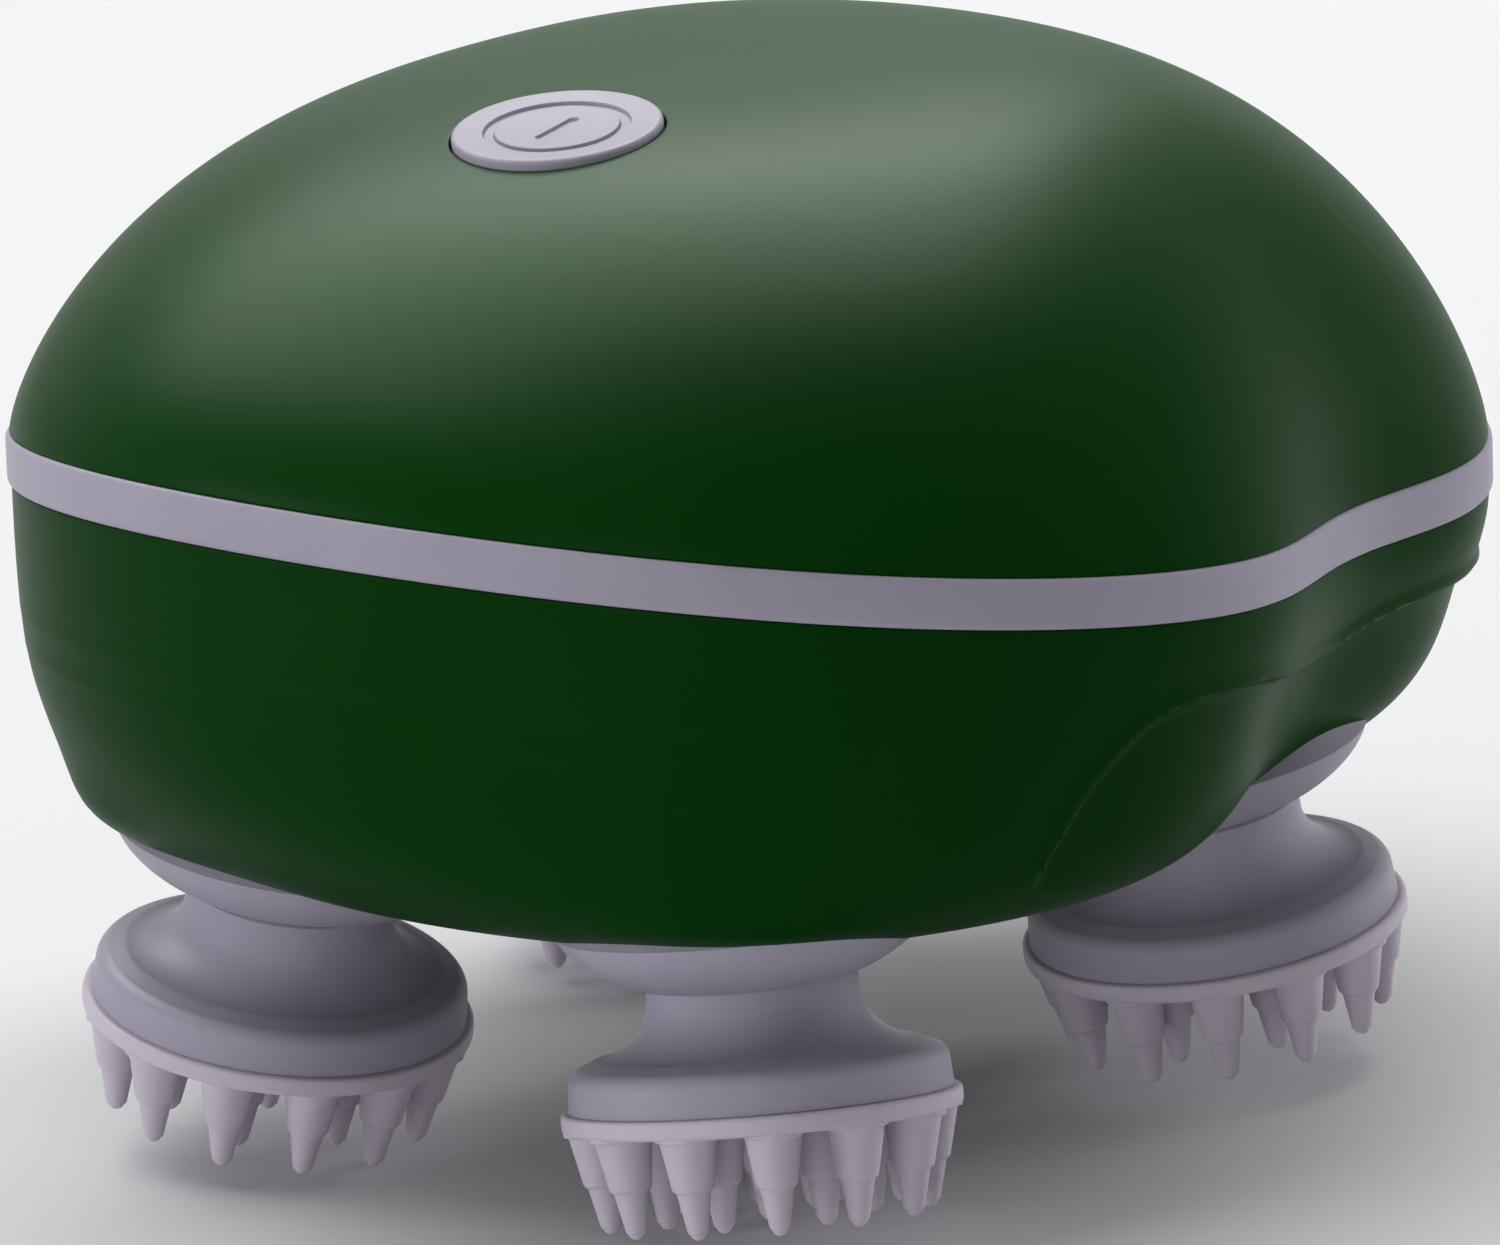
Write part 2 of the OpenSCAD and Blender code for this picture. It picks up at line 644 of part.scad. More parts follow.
module centre_gear() {
    color(nylon) translate([centre_x, 0, teeth_z]) difference() {
        linear_extrude(tooth_width) gear_teeth(centre_teeth, 0);
        translate([0, 0, -1]) cylinder(r = axle_r + running_gap, h = tooth_width + 2);
        translate([0, 0, tooth_width - 1.2]) difference() {
            cylinder(r = 18, h = 3);
            translate([0, 0, -1]) cylinder(r = 5, h = 5);
        }
    }
}
module centre_axle() {
    color(steel) translate([centre_x, 0, base_z]) cylinder(r = axle_r, h = deck_z - base_z);
}

module plate_shape() {
    difference() {
        plate_outline();
        for (p = case_posts) translate(p) circle(r = post_r + post_gap);
    }
}
post_gap = 0.4;
module plate_outline() {
    head_r = tooth_module * (head_teeth / 2 + 1) + plate_margin;
    translate([centre_x, 0]) circle(r = tooth_module * (centre_teeth / 2 + 1) + plate_margin);
    for (i = [0:3]) translate([gear_place(i).x, gear_place(i).y]) circle(r = head_r);
    translate([pinion_x, 0]) circle(r = gearbox_r + 1);
    for (p = chassis_posts) {
        translate(p) circle(r = pillar_r + 0.6);
        d = p - [centre_x, 0];
        translate(p - d / 4) rotate(atan2(d.y, d.x)) square([norm(d) / 2, 6], center = true);
    }
}
module chassis_base() {
    color(dark) difference() {
        union() {
            translate([0, 0, base_z]) linear_extrude(plate) plate_shape();
            for (p = chassis_posts) translate([p.x, p.y, base_z])
                cylinder(r = pillar_r, h = cover_z - base_z);
        }
        for (i = [0:3]) translate([gear_place(i).x, gear_place(i).y, base_z - 1])
            cylinder(r = cup_r + running_gap, h = plate + 2);
        translate([centre_x, 0, base_z - 1]) cylinder(r = axle_r, h = plate + 2);
        translate([pinion_x, 0, base_z - 1]) cylinder(r = axle_r + running_gap, h = plate + 2);
        for (p = chassis_posts) translate([p.x, p.y, base_z - 1])
            cylinder(r = screw_r + 0.15, h = cover_z - base_z + 2);
    }
}
module chassis_cover() {
    color(dark) difference() {
        union() {
            translate([0, 0, cover_z]) linear_extrude(plate) plate_shape();
            for (p = board_posts) translate([p.x, p.y, cover_z]) {
                cylinder(r = 1.7 * peg_r, h = board_z - cover_z);
                cylinder(r = peg_r, h = board_z + board + 0.8 - cover_z);
            }
        }
        for (i = [0:3]) translate([gear_place(i).x, gear_place(i).y, cover_z - 1])
            cylinder(r = journal_r + running_gap, h = plate + 2);
        translate([centre_x, 0, cover_z - 1]) cylinder(r = axle_r, h = plate + 2);
        translate([pinion_x, 0, cover_z - 1]) cylinder(r = shaft_r + 1, h = plate + 2);
        for (p = chassis_posts) translate([p.x, p.y, cover_z - 1])
            cylinder(r = screw_r + 0.15, h = plate + 2);
    }
}

// The charging socket fills the room between the rear wall and the rear case post.
socket_inset = 0.3;
socket_length = half_length + case_posts[1].x - post_r - socket_inset - fit_gap;
module charging_socket() {
    color(dark) translate([socket_inset - half_length, 0, floor_z + socket_rise]) rotate([0, 90, 0])
        union() {
            difference() {
                cylinder(r = socket_r, h = socket_length);
                translate([0, 0, -1]) cylinder(r = socket_bore, h = socket_length - 1);
            }
            translate([0, 0, 1.5]) cylinder(r = 0.65, h = socket_length - 2);
        }
}

// Collar: a round bowl with a mouth for the neck and a sleeve for the bush.
mouth_r = neck_r + mouth_gap;
neck_top = 0.5;
web_floor = neck_top + neck_r * sin(swash) + 0.35;
web_z = web_floor + 0.8;
sleeve_r = bush_r + 1.8;
sleeve_top = web_z + seal_height + bush_length;
collar_wall = 1.5;
collar_top = 8.2;
bowl_r = collar_r + 0.3;
// Section of the bowl from its mouth to its rim, grown by a margin.
function bowl(grow) =
    let (from = asin(mouth_r / bowl_r), to = asin(collar_r / bowl_r), steps = 8)
    [for (s = [0:steps]) let (a = from + (to - from) * s / steps)
        [(bowl_r + grow) * sin(a), collar_bowl * (cos(from) - cos(a)) - grow]];
module collar(i) {
    color(lavender) at_collar(i) rotate_extrude() polygon(concat(bowl(0),
        [[collar_r - collar_taper, collar_top], [collar_r - collar_taper - collar_wall, collar_top],
         [collar_r - collar_wall - 0.3, web_z + 1.6], [sleeve_r, web_z + 1.6],
         [sleeve_r, sleeve_top], [bush_r, sleeve_top], [bush_r, web_z],
         [spindle_r + 0.6, web_z], [spindle_r + 0.6, web_floor], [mouth_r, web_floor]]));
}
module spindle_bushes() {
    color(bronze) for (i = [0:3]) at_collar(i) translate([0, 0, web_z + seal_height])
        difference() {
            cylinder(r = bush_r, h = bush_length);
            translate([0, 0, -1]) cylinder(r = spindle_r + running_gap, h = bush_length + 2);
        }
}
module spindle_seals() {
    color(dark) for (i = [0:3]) at_collar(i) translate([0, 0, web_z]) difference() {
        cylinder(r = bush_r, h = seal_height);
        translate([0, 0, -1]) cylinder(r = spindle_r + running_gap, h = seal_height + 2);
    }
}

// Head gear: teeth over an open drive cup, with a journal above.
module head_gear(i) {
    place = gear_place(i);
    slot = cross_pin_r + 0.1;
    color(nylon) translate([place.x, place.y, 0]) difference() {
        union() {
            translate([0, 0, teeth_z]) linear_extrude(tooth_width)
                gear_teeth(head_teeth, mesh_turn(gear_heading(i), head_teeth));
            translate([0, 0, ball_z - cup_reach]) cylinder(r = cup_r, h = teeth_z - ball_z + cup_reach + 1);
            translate([0, 0, teeth_z + 1]) cylinder(r = journal_r, h = deck_z - teeth_z - 1);
        }
        translate([0, 0, ball_z - cup_reach - 1])
            cylinder(r = ball_r + 0.1, h = cup_reach + cup_depth + 1);
        rotate(head_heading(i)) translate([-cross_pin_reach - 0.4, -slot, ball_z - cup_reach - 1])
            cube([2 * cross_pin_reach + 0.8, 2 * slot, cup_reach + 1 + cross_pin_r + 1.1]);
    }
}
// Spindle: a straight shank with a ball and cross pin above and a rocked stub below.
stub_z = -disc_drop + 2.6;
knuckle_r = spindle_r + 0.5;
disc_screw_reach = -stub_z - knuckle_r - 0.4;
module spindle(i) {
    throat_r = spindle_r - 0.6;
    shank_top = sleeve_top + 0.5;
    from = asin(throat_r / ball_r);
    to = asin(spindle_r / knuckle_r);
    color(steel) {
        at_collar(i) union() {
            rotate_extrude() polygon(concat(
                [for (s = [0:6]) let (a = to * s / 6 + 180 * (1 - s / 6))
                    [knuckle_r * sin(a), knuckle_r * cos(a)]],
                [[spindle_r, shank_top], [throat_r, shank_top]],
                [for (s = [0:8]) let (a = (180 - from) * (1 - s / 8))
                    [ball_r * sin(a), ball_rise + ball_r * cos(a)]]));
            rotate(head_heading(i)) translate([-cross_pin_reach, 0, ball_rise]) rotate([0, 90, 0])
                cylinder(r = cross_pin_r, h = 2 * cross_pin_reach);
        }
        at_disc(i) difference() {
            translate([0, 0, stub_z]) cylinder(r = stub_r, h = -0.8 - stub_z);
            translate([0, 0, stub_z - 1]) cylinder(r = 0.8, h = 1.2 + disc_screw_reach);
        }
    }
}
// Head disc: a neck that flares into a round shoulder, hollow underneath.
side_r = disc_r - 0.6;
flare_height = 4.3;
shoulder_z = -disc_drop + disc_wall + 1.3;
module head_disc(i) {
    flare = 5;
    soft = 1.3;
    flare_top = shoulder_z + 0.35 + flare_height;
    color(lavender) at_disc(i) difference() {
        rotate_extrude() polygon(concat(
            [[0, neck_top], [neck_r, neck_top]],
            [for (a = [0:10:80]) [neck_r + flare * (1 - cos(a)),
                flare_top - flare_height * sin(a)]],
            [for (a = [0:15:90]) [side_r - 0.15 - soft + soft * sin(a),
                shoulder_z - soft + soft * cos(a)]],
            [[side_r, -disc_drop], [side_r - 1.6, -disc_drop],
             [side_r - 1.8, shoulder_z - 1.9], [hub_r + 1.2, shoulder_z - 1.2],
             [hub_r, stub_z - 1.2], [0, stub_z - 1.2]]));
        translate([0, 0, stub_z]) cylinder(r = stub_r, h = neck_top - stub_z + 1);
        sphere(r = knuckle_r + 0.02);
        translate([0, 0, -disc_drop - 1]) cylinder(r = 1.05, h = disc_drop);
    }
}
hub_r = 4.4;
module disc_screw(i) {
    color(steel) at_disc(i) union() {
        translate([0, 0, stub_z - 1.2 - 1.2]) cylinder(r = 1.9, h = 1.2);
        translate([0, 0, stub_z - 1.3]) cylinder(r = 0.8, h = 1.3 + disc_screw_reach);
    }
}
// Finger pad: a soft plate whose rim closes the disc, with stepped fingers below it.
module finger() {
    step_z = -finger_length / 2;
    tip_z = -finger_length + finger_tip_r;
    color(lavender) rotate_extrude($fn = 32) polygon(concat(
        [[0, 0.6], [finger_root_r, 0.6], [finger_root_r, 0], [finger_step_r, step_z],
         [finger_step_r - finger_step, step_z - 0.1]],
        [for (a = [10:20:90]) [finger_tip_r * cos(a), tip_z - finger_tip_r * sin(a)]]));
}
module finger_pad(i) {
    soft = pad_rim / 2;
    color(lavender) at_disc(i) translate([0, 0, -disc_drop - pad_rim]) union() {
        rotate_extrude() polygon(concat([[0, 0]],
            [for (a = [-90:30:90]) [disc_r - soft * 0.5 + soft * 0.5 * cos(a), soft + soft * sin(a)]],
            [[side_r - 1.8, pad_rim], [side_r - 1.8, pad_rim + 0.8],
             [side_r - 3, pad_rim + 0.8], [side_r - 3, pad_rim], [0, pad_rim]]));
        for (k = [0:outer_fingers - 1]) rotate(finger_angle(i, k))
            translate([outer_ring_r, 0, 0]) rotate([0, finger_lean, 0]) finger();
        for (k = [0:inner_fingers - 1]) rotate(finger_turn[i] + k * 360 / inner_fingers)
            translate([inner_ring_r, 0, 0]) finger();
        finger();
    }
}

module case_screws() {
    color(steel) for (p = case_posts) translate([p.x, p.y, floor_z + screw_seat]) union() {
        translate([0, 0, -screw_head]) cylinder(r = screw_head_r, h = screw_head);
        cylinder(r = screw_r, h = post_split - floor_z - screw_seat + 8);
    }
}
module chassis_screws() {
    color(steel) for (p = chassis_posts) translate([p.x, p.y, 0]) union() {
        translate([0, 0, deck_z]) cylinder(r = screw_head_r, h = screw_head);
        translate([0, 0, base_z - 4]) cylinder(r = screw_r, h = deck_z - base_z + 4.5);
    }
}

upper_shell();
lower_shell();
trim_band();
shell_gasket();
power_button();
switch_plunger();
tact_switch();
switch_board();
control_board();
board_components();
battery_cell();
battery_cradle();
motor_can();
motor_gearbox();
drive_pinion();
centre_gear();
centre_axle();
chassis_base();
chassis_cover();
charging_socket();
spindle_bushes();
spindle_seals();
case_screws();
chassis_screws();
switch_screws();
for (i = [0:3]) {
    collar(i);
    head_gear(i);
    spindle(i);
    head_disc(i);
    finger_pad(i);
    disc_screw(i);
}
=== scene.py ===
import bpy
import json
import math
import numpy as np
from mathutils import Matrix, Vector


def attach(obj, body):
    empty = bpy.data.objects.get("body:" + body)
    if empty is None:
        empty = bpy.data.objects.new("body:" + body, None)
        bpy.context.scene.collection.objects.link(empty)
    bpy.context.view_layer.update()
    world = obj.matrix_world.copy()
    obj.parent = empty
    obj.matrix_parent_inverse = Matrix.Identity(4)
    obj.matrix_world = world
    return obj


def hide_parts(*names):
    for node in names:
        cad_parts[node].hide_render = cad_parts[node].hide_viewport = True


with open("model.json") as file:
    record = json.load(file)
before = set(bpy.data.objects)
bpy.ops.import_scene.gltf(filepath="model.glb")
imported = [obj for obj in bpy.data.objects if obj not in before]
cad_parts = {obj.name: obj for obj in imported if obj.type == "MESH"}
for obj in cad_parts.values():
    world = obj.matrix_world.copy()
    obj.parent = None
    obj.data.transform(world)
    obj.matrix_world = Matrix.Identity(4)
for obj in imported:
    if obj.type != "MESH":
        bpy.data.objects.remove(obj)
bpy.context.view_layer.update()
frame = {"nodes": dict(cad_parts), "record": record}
nodes = frame["nodes"]
record = frame["record"]
bodyOf = {n: b for b, members in record["behaviour"]["bodies"].items() for n in members}
slotOf = {s["node"]: s["material_slot"] for s in record["subparts"]}
mm = 0.001
print("frame loaded:", len(nodes), "nodes")


# small helpers

def deselectAll():
    if bpy.context.object and bpy.context.object.mode != "OBJECT":
        bpy.ops.object.mode_set(mode="OBJECT")
    bpy.ops.object.select_all(action="DESELECT")


def pick(*objs):
    deselectAll()
    for obj in objs:
        obj.select_set(True)
    bpy.context.view_layer.objects.active = objs[0]


def smooth(obj, angle=35):
    pick(obj)
    bpy.ops.object.shade_smooth_by_angle(angle=math.radians(angle))


def paint(obj, material):
    obj.data.materials.clear()
    obj.data.materials.append(material)


def settle(obj, matrix):
    obj.matrix_world = matrix @ obj.matrix_world
    pick(obj)
    bpy.ops.object.transform_apply(location=True, rotation=True, scale=True)
    return obj


def copyOf(obj, name):
    twin = obj.copy()
    twin.data = obj.data.copy()
    twin.name = name
    bpy.context.scene.collection.objects.link(twin)
    return twin


def joined(*objs):
    pick(*objs)
    bpy.ops.object.join()
    return bpy.context.object


# a grid laid over a table of places in millimetres, merged where its edges meet
def sheetFromTable(name, table):
    rows, columns = table.shape[:2]
    deselectAll()
    bpy.ops.mesh.primitive_grid_add(x_subdivisions=columns - 1, y_subdivisions=rows - 1, size=1)
    obj = bpy.context.object
    obj.name = name
    flat = np.empty(len(obj.data.vertices) * 3)
    obj.data.vertices.foreach_get("co", flat)
    flat = flat.reshape(-1, 3)
    across = np.rint((flat[:, 0] + 0.5) * (columns - 1)).astype(int)
    along = np.rint((flat[:, 1] + 0.5) * (rows - 1)).astype(int)
    obj.data.vertices.foreach_set("co", (table[along, across] * mm).ravel())
    obj.data.update()
    bpy.ops.object.mode_set(mode="EDIT")
    bpy.ops.mesh.select_all(action="SELECT")
    bpy.ops.mesh.remove_doubles(threshold=0.000001)
    bpy.ops.mesh.normals_make_consistent(inside=False)
    bpy.ops.object.mode_set(mode="OBJECT")
    return obj


# corners given as (r, z) or (r, z, cut) with a soft bend where a cut is given
def softened(corners, steps=5):
    line = []
    for k, corner in enumerate(corners):
        here = np.array(corner[:2], float)
        if len(corner) < 3:
            line.append(here)
            continue
        before = np.array(corners[k - 1][:2], float) - here
        after = np.array(corners[(k + 1) % len(corners)][:2], float) - here
        a = here + before / np.linalg.norm(before) * corner[2]
        b = here + after / np.linalg.norm(after) * corner[2]
        for t in np.linspace(0, 1, steps + 1):
            line.append((1 - t) ** 2 * a + 2 * t * (1 - t) * here + t * t * b)
    return line


# a turned piece from its section, closed round
def lathe(name, profile, segments=96, angle=35):
    profile = np.array(list(profile) + [profile[0]], float)
    around = np.linspace(0, 2 * math.pi, segments + 1)
    table = np.empty((len(profile), segments + 1, 3))
    table[..., 0] = profile[:, :1] * np.cos(around)
    table[..., 1] = profile[:, :1] * np.sin(around)
    table[..., 2] = profile[:, 1:]
    obj = sheetFromTable(name, table)
    smooth(obj, angle)
    return obj


def cutAway(obj, cutter):
    mod = obj.modifiers.new("cut", "BOOLEAN")
    mod.operation = "DIFFERENCE"
    mod.solver = "EXACT"
    mod.object = cutter
    pick(obj)
    bpy.ops.object.modifier_apply(modifier="cut")
    bpy.data.objects.remove(cutter)


# smooth step from 0 to 1
def eased(t):
    t = np.clip(t, 0, 1)
    return t * t * (3 - 2 * t)


# materials

def newMaterial(name):
    mat = bpy.data.materials.new(name)
    mat.use_nodes = True
    tree = mat.node_tree
    tree.nodes.clear()
    out = tree.nodes.new("ShaderNodeOutputMaterial")
    bsdf = tree.nodes.new("ShaderNodeBsdfPrincipled")
    tree.links.new(bsdf.outputs["BSDF"], out.inputs["Surface"])
    return mat, tree, bsdf


# shared effect: mottled colour, uneven roughness and a fine grain in the normal

moulded = {"patchDetail": 4, "grainDetail": 2, "patchLow": 0.3, "patchHigh": 0.7,
           "bumpHeight": 0.0001, "softReach": 0.002}


def makeMouldedSurface():
    group = bpy.data.node_groups.new("mouldedSurface", "ShaderNodeTree")
    face = group.interface
    for label in ("Colour", "Shade"):
        face.new_socket(label, in_out="INPUT", socket_type="NodeSocketColor")
    for label in ("Roughness", "Uneven", "Patch size", "Grain size", "Grain"):
        face.new_socket(label, in_out="INPUT", socket_type="NodeSocketFloat")
    for label, kind in (("Colour", "Color"), ("Roughness", "Float"), ("Normal", "Vector")):
        face.new_socket(label, in_out="OUTPUT", socket_type="NodeSocket" + kind)
    n, link = group.nodes, group.links.new
    gin, gout = n.new("NodeGroupInput"), n.new("NodeGroupOutput")
    coord = n.new("ShaderNodeTexCoord")
    patch, grain = n.new("ShaderNodeTexNoise"), n.new("ShaderNodeTexNoise")
    patch.inputs["Detail"].default_value = moulded["patchDetail"]
    grain.inputs["Detail"].default_value = moulded["grainDetail"]
    mix = n.new("ShaderNodeMix")
    mix.data_type = "RGBA"
    spread = n.new("ShaderNodeMapRange")
    spread.inputs["From Min"].default_value = moulded["patchLow"]
    spread.inputs["From Max"].default_value = moulded["patchHigh"]
    rough = n.new("ShaderNodeMath")
    rough.operation = "MULTIPLY_ADD"
    bump = n.new("ShaderNodeBump")
    bump.inputs["Distance"].default_value = moulded["bumpHeight"]
    link(coord.outputs["Object"], patch.inputs["Vector"])
    link(coord.outputs["Object"], grain.inputs["Vector"])
    link(gin.outputs["Patch size"], patch.inputs["Scale"])
    link(gin.outputs["Grain size"], grain.inputs["Scale"])
    link(patch.outputs["Fac"], spread.inputs["Value"])
    link(spread.outputs["Result"], mix.inputs["Factor"])
    link(gin.outputs["Colour"], mix.inputs[6])
    link(gin.outputs["Shade"], mix.inputs[7])
    link(spread.outputs["Result"], rough.inputs[0])
    link(gin.outputs["Uneven"], rough.inputs[1])
    link(gin.outputs["Roughness"], rough.inputs[2])
    link(gin.outputs["Grain"], bump.inputs["Strength"])
    link(grain.outputs["Fac"], bump.inputs["Height"])
    link(mix.outputs[2], gout.inputs["Colour"])
    link(rough.outputs["Value"], gout.inputs["Roughness"])
    link(bump.outputs["Normal"], gout.inputs["Normal"])
    return group


mouldedSurface = makeMouldedSurface()


# what a look has unless it says otherwise
plainLook = {"grainSize": 2500, "metallic": 0, "ior": 1.25, "soft": 0}


def mouldedMaterial(name, look):
    look = {**plainLook, **look}
    mat, tree, bsdf = newMaterial(name)
    g = tree.nodes.new("ShaderNodeGroup")
    g.node_tree = mouldedSurface
    g.inputs["Colour"].default_value = (*look["colour"], 1)
    g.inputs["Shade"].default_value = (*look["shade"], 1)
    for label, key in (("Roughness", "roughness"), ("Uneven", "uneven"), ("Patch size", "patch"),
                       ("Grain size", "grainSize"), ("Grain", "grain")):
        g.inputs[label].default_value = look[key]
    for a, b in (("Colour", "Base Color"), ("Roughness", "Roughness"), ("Normal", "Normal")):
        tree.links.new(g.outputs[a], bsdf.inputs[b])
    for label, key in (("Metallic", "metallic"), ("IOR", "ior"), ("Subsurface Weight", "soft")):
        bsdf.inputs[label].default_value = look[key]
    bsdf.inputs["Subsurface Scale"].default_value = moulded["softReach"]
    return mat


looks = {
    "glossGreen": {"colour": (0.0004, 0.030, 0.0012), "shade": (0.0003, 0.027, 0.001),
                   "roughness": 0.36, "uneven": 0.03, "patch": 22, "grain": 0.015, "ior": 1.10},
    "satinLavender": {"colour": (0.32, 0.295, 0.365), "shade": (0.30, 0.275, 0.345),
                      "roughness": 0.40, "uneven": 0.05, "patch": 90, "grain": 0.04, "ior": 1.16},
    "softSilicone": {"colour": (0.50, 0.45, 0.535), "shade": (0.47, 0.42, 0.505),
                     "roughness": 0.42, "uneven": 0.06, "patch": 120, "grain": 0.06,
                     "soft": 0.12, "ior": 1.18},
    "blackRubber": {"colour": (0.012, 0.012, 0.012), "shade": (0.02, 0.02, 0.02),
                    "roughness": 0.7, "uneven": 0.1, "patch": 200, "grain": 0.2},
    "blackPlastic": {"colour": (0.014, 0.014, 0.016), "shade": (0.02, 0.02, 0.022),
                     "roughness": 0.45, "uneven": 0.1, "patch": 150, "grain": 0.15},
    "greenBoard": {"colour": (0.01, 0.09, 0.035), "shade": (0.02, 0.13, 0.05),
                   "roughness": 0.35, "uneven": 0.1, "patch": 700, "grain": 0.1},
    "brightSteel": {"colour": (0.56, 0.57, 0.58), "shade": (0.50, 0.50, 0.51),
                    "roughness": 0.28, "uneven": 0.15, "patch": 400, "grain": 0.1, "metallic": 1},
    "blueSleeve": {"colour": (0.012, 0.05, 0.28), "shade": (0.01, 0.04, 0.24),
                   "roughness": 0.3, "uneven": 0.08, "patch": 80, "grain": 0.05},
    "paleNylon": {"colour": (0.72, 0.70, 0.62), "shade": (0.66, 0.64, 0.56),
                  "roughness": 0.5, "uneven": 0.08, "patch": 150, "grain": 0.1, "soft": 0.1},
    "sinteredBronze": {"colour": (0.50, 0.28, 0.10), "shade": (0.40, 0.21, 0.07),
                       "roughness": 0.42, "uneven": 0.15, "patch": 900, "grainSize": 5000,
                       "grain": 0.3, "metallic": 1},
}
materials = {name: mouldedMaterial(name, look) for name, look in looks.items()}
slotLook = {"green_shell": "glossGreen", "lavender_plastic": "satinLavender",
            "lavender_silicone": "softSilicone", "black_rubber": "blackRubber",
            "black_plastic": "blackPlastic", "green_board": "greenBoard", "steel": "brightSteel",
            "blue_sleeve": "blueSleeve", "nylon": "paleNylon", "bronze": "sinteredBronze"}
for name, obj in nodes.items():
    paint(obj, materials[slotLook[slotOf[name]]])
    smooth(obj, angle=30)
print("materials made:", len(materials))


# a finished piece takes its node's body, slot and finish
def dress(obj, nodeName):
    paint(obj, materials[slotLook[slotOf[nodeName]]])
    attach(obj, bodyOf[nodeName])
    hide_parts(nodeName)
    return obj


# shape of the body, in millimetres

body = {"halfLength": 58.75, "halfWidth": 52.8, "squareness": 0.0262, "waistDepth": 6.4,
        "waistBack": 13.5, "waistReach": 18, "floor": 21.501, "seamHeight": 26.2,
        "seamRise": 6.3, "seamCurl": 3.7, "bandHeight": 3.9, "wall": 2.2, "edgeSteps": 6}


def rimPlace(angle, inset):
    bulge = 1 + body["squareness"] * np.sin(2 * angle) ** 2
    return ((body["halfLength"] - inset) * np.cos(angle) * bulge,
            (body["halfWidth"] - inset) * np.sin(angle) * bulge)


def waist(x):
    return body["waistDepth"] / body["halfWidth"] \
        * np.exp(-((x + body["waistBack"]) / body["waistReach"]) ** 2)


def seamHeight(x):
    share = x / body["halfLength"]
    return body["floor"] + body["seamHeight"] + body["seamRise"] * share \
        + body["seamCurl"] * share ** 2


def seamPlace(angle, inset, rise):
    x, y = rimPlace(angle, inset)
    return np.stack([x, y * (1 - waist(x)), seamHeight(x) + rise], -1)


def lengthsOf(lines):
    steps = np.linalg.norm(np.diff(lines, axis=1), axis=2)
    return np.concatenate([np.zeros((len(lines), 1)), np.cumsum(steps, axis=1)], axis=1)


# places at given lengths along each line of a bundle
def placesAlong(lines, lengths, wanted):
    out = np.empty((len(lines), wanted.shape[1], 3))
    for k in range(len(lines)):
        for axis in range(3):
            out[k, :, axis] = np.interp(wanted[k], lengths[k], lines[k, :, axis])
    return out


def closedRound(table):
    return np.concatenate([table, table[:, :1]], axis=1)


# frame of the button: on the dome, with Z the way it is pressed out
# rows gives the first and last radius and the count of each group, closer at the grooves
button = {"x": 24, "z": 80.302, "tilt": 6.184, "radius": 7.9, "hole": 8.03, "holeEdge": 0.22,
          "proud": 0.35, "dish": 0.3, "ringRadius": 5.1, "barHalf": 2.4, "groove": 0.8,
          "grooveDepth": 0.25, "grooveSoft": 0.16, "edge": 0.4, "edgeSteps": 8,
          "rimDrop": 0.02, "columns": 256, "flangeTop": -3.5,
          "flangeBottom": -4.5, "flangeRadius": 9.2, "stemRadius": 1.6, "stemEnd": -5.0,
          "rows": ((0.02, 4.3, 46), (4.35, 5.85, 40), (5.95, 7.5, 14))}
buttonCentre = np.array([button["x"], 0, button["z"]])
tilt = math.radians(button["tilt"])
buttonAxis = np.array([math.sin(tilt), 0, math.cos(tilt)])
buttonFrame = Matrix.Translation(buttonCentre * mm) @ Matrix.Rotation(tilt, 4, "Y")


# dome: rays from the button to the rim, so that its rows run round the button hole

dome = {"apex": 3, "top": 81.001, "across": 3.15, "crown": 1.42, "columns": 320, "rows": 170,
        "innerRows": 30, "rimSoft": 0.18, "samples": 700, "crowding": 3, "holeSamples": 300}


def domePlace(u, v, inset):
    angle = np.arctan2(v, u)
    r = np.minimum(1, np.hypot(u, v))
    x, y = rimPlace(angle, inset)
    h = (1 - r ** dome["across"]) ** (1 / dome["crown"])
    low = seamHeight(x) + body["bandHeight"] / 2
    return np.stack([dome["apex"] + (x - dome["apex"]) * r, y * (1 - waist(x) * (1 - h)) * r,
                     low * (1 - h) + (dome["top"] - inset) * h], -1)


def domeRays(inset):
    heading = np.linspace(0, 2 * math.pi, dome["columns"], endpoint=False)
    start = (button["x"] - dome["apex"]) / (body["halfLength"] - dome["apex"])
    du, dv = np.cos(heading), np.sin(heading)
    reach = -start * du + np.sqrt((start * du) ** 2 - start ** 2 + 1)
    t = 1 - (1 - np.linspace(0, 1, dome["samples"])) ** dome["crowding"]
    u = start + reach[:, None] * t * du[:, None]
    v = reach[:, None] * t * dv[:, None]
    lines = domePlace(u, v, inset)
    rimAngle = np.arctan2(reach * dv, start + reach * du)
    return lines, lengthsOf(lines), rimAngle


def fromButtonAxis(lines):
    away = lines - buttonCentre
    return np.linalg.norm(np.cross(away, buttonAxis), axis=-1)


def lengthAtRadius(lines, lengths, radius):
    near = dome["holeSamples"]
    away = fromButtonAxis(lines)
    return np.array([np.interp(radius, away[k, :near], lengths[k, :near])
                     for k in range(len(lines))])


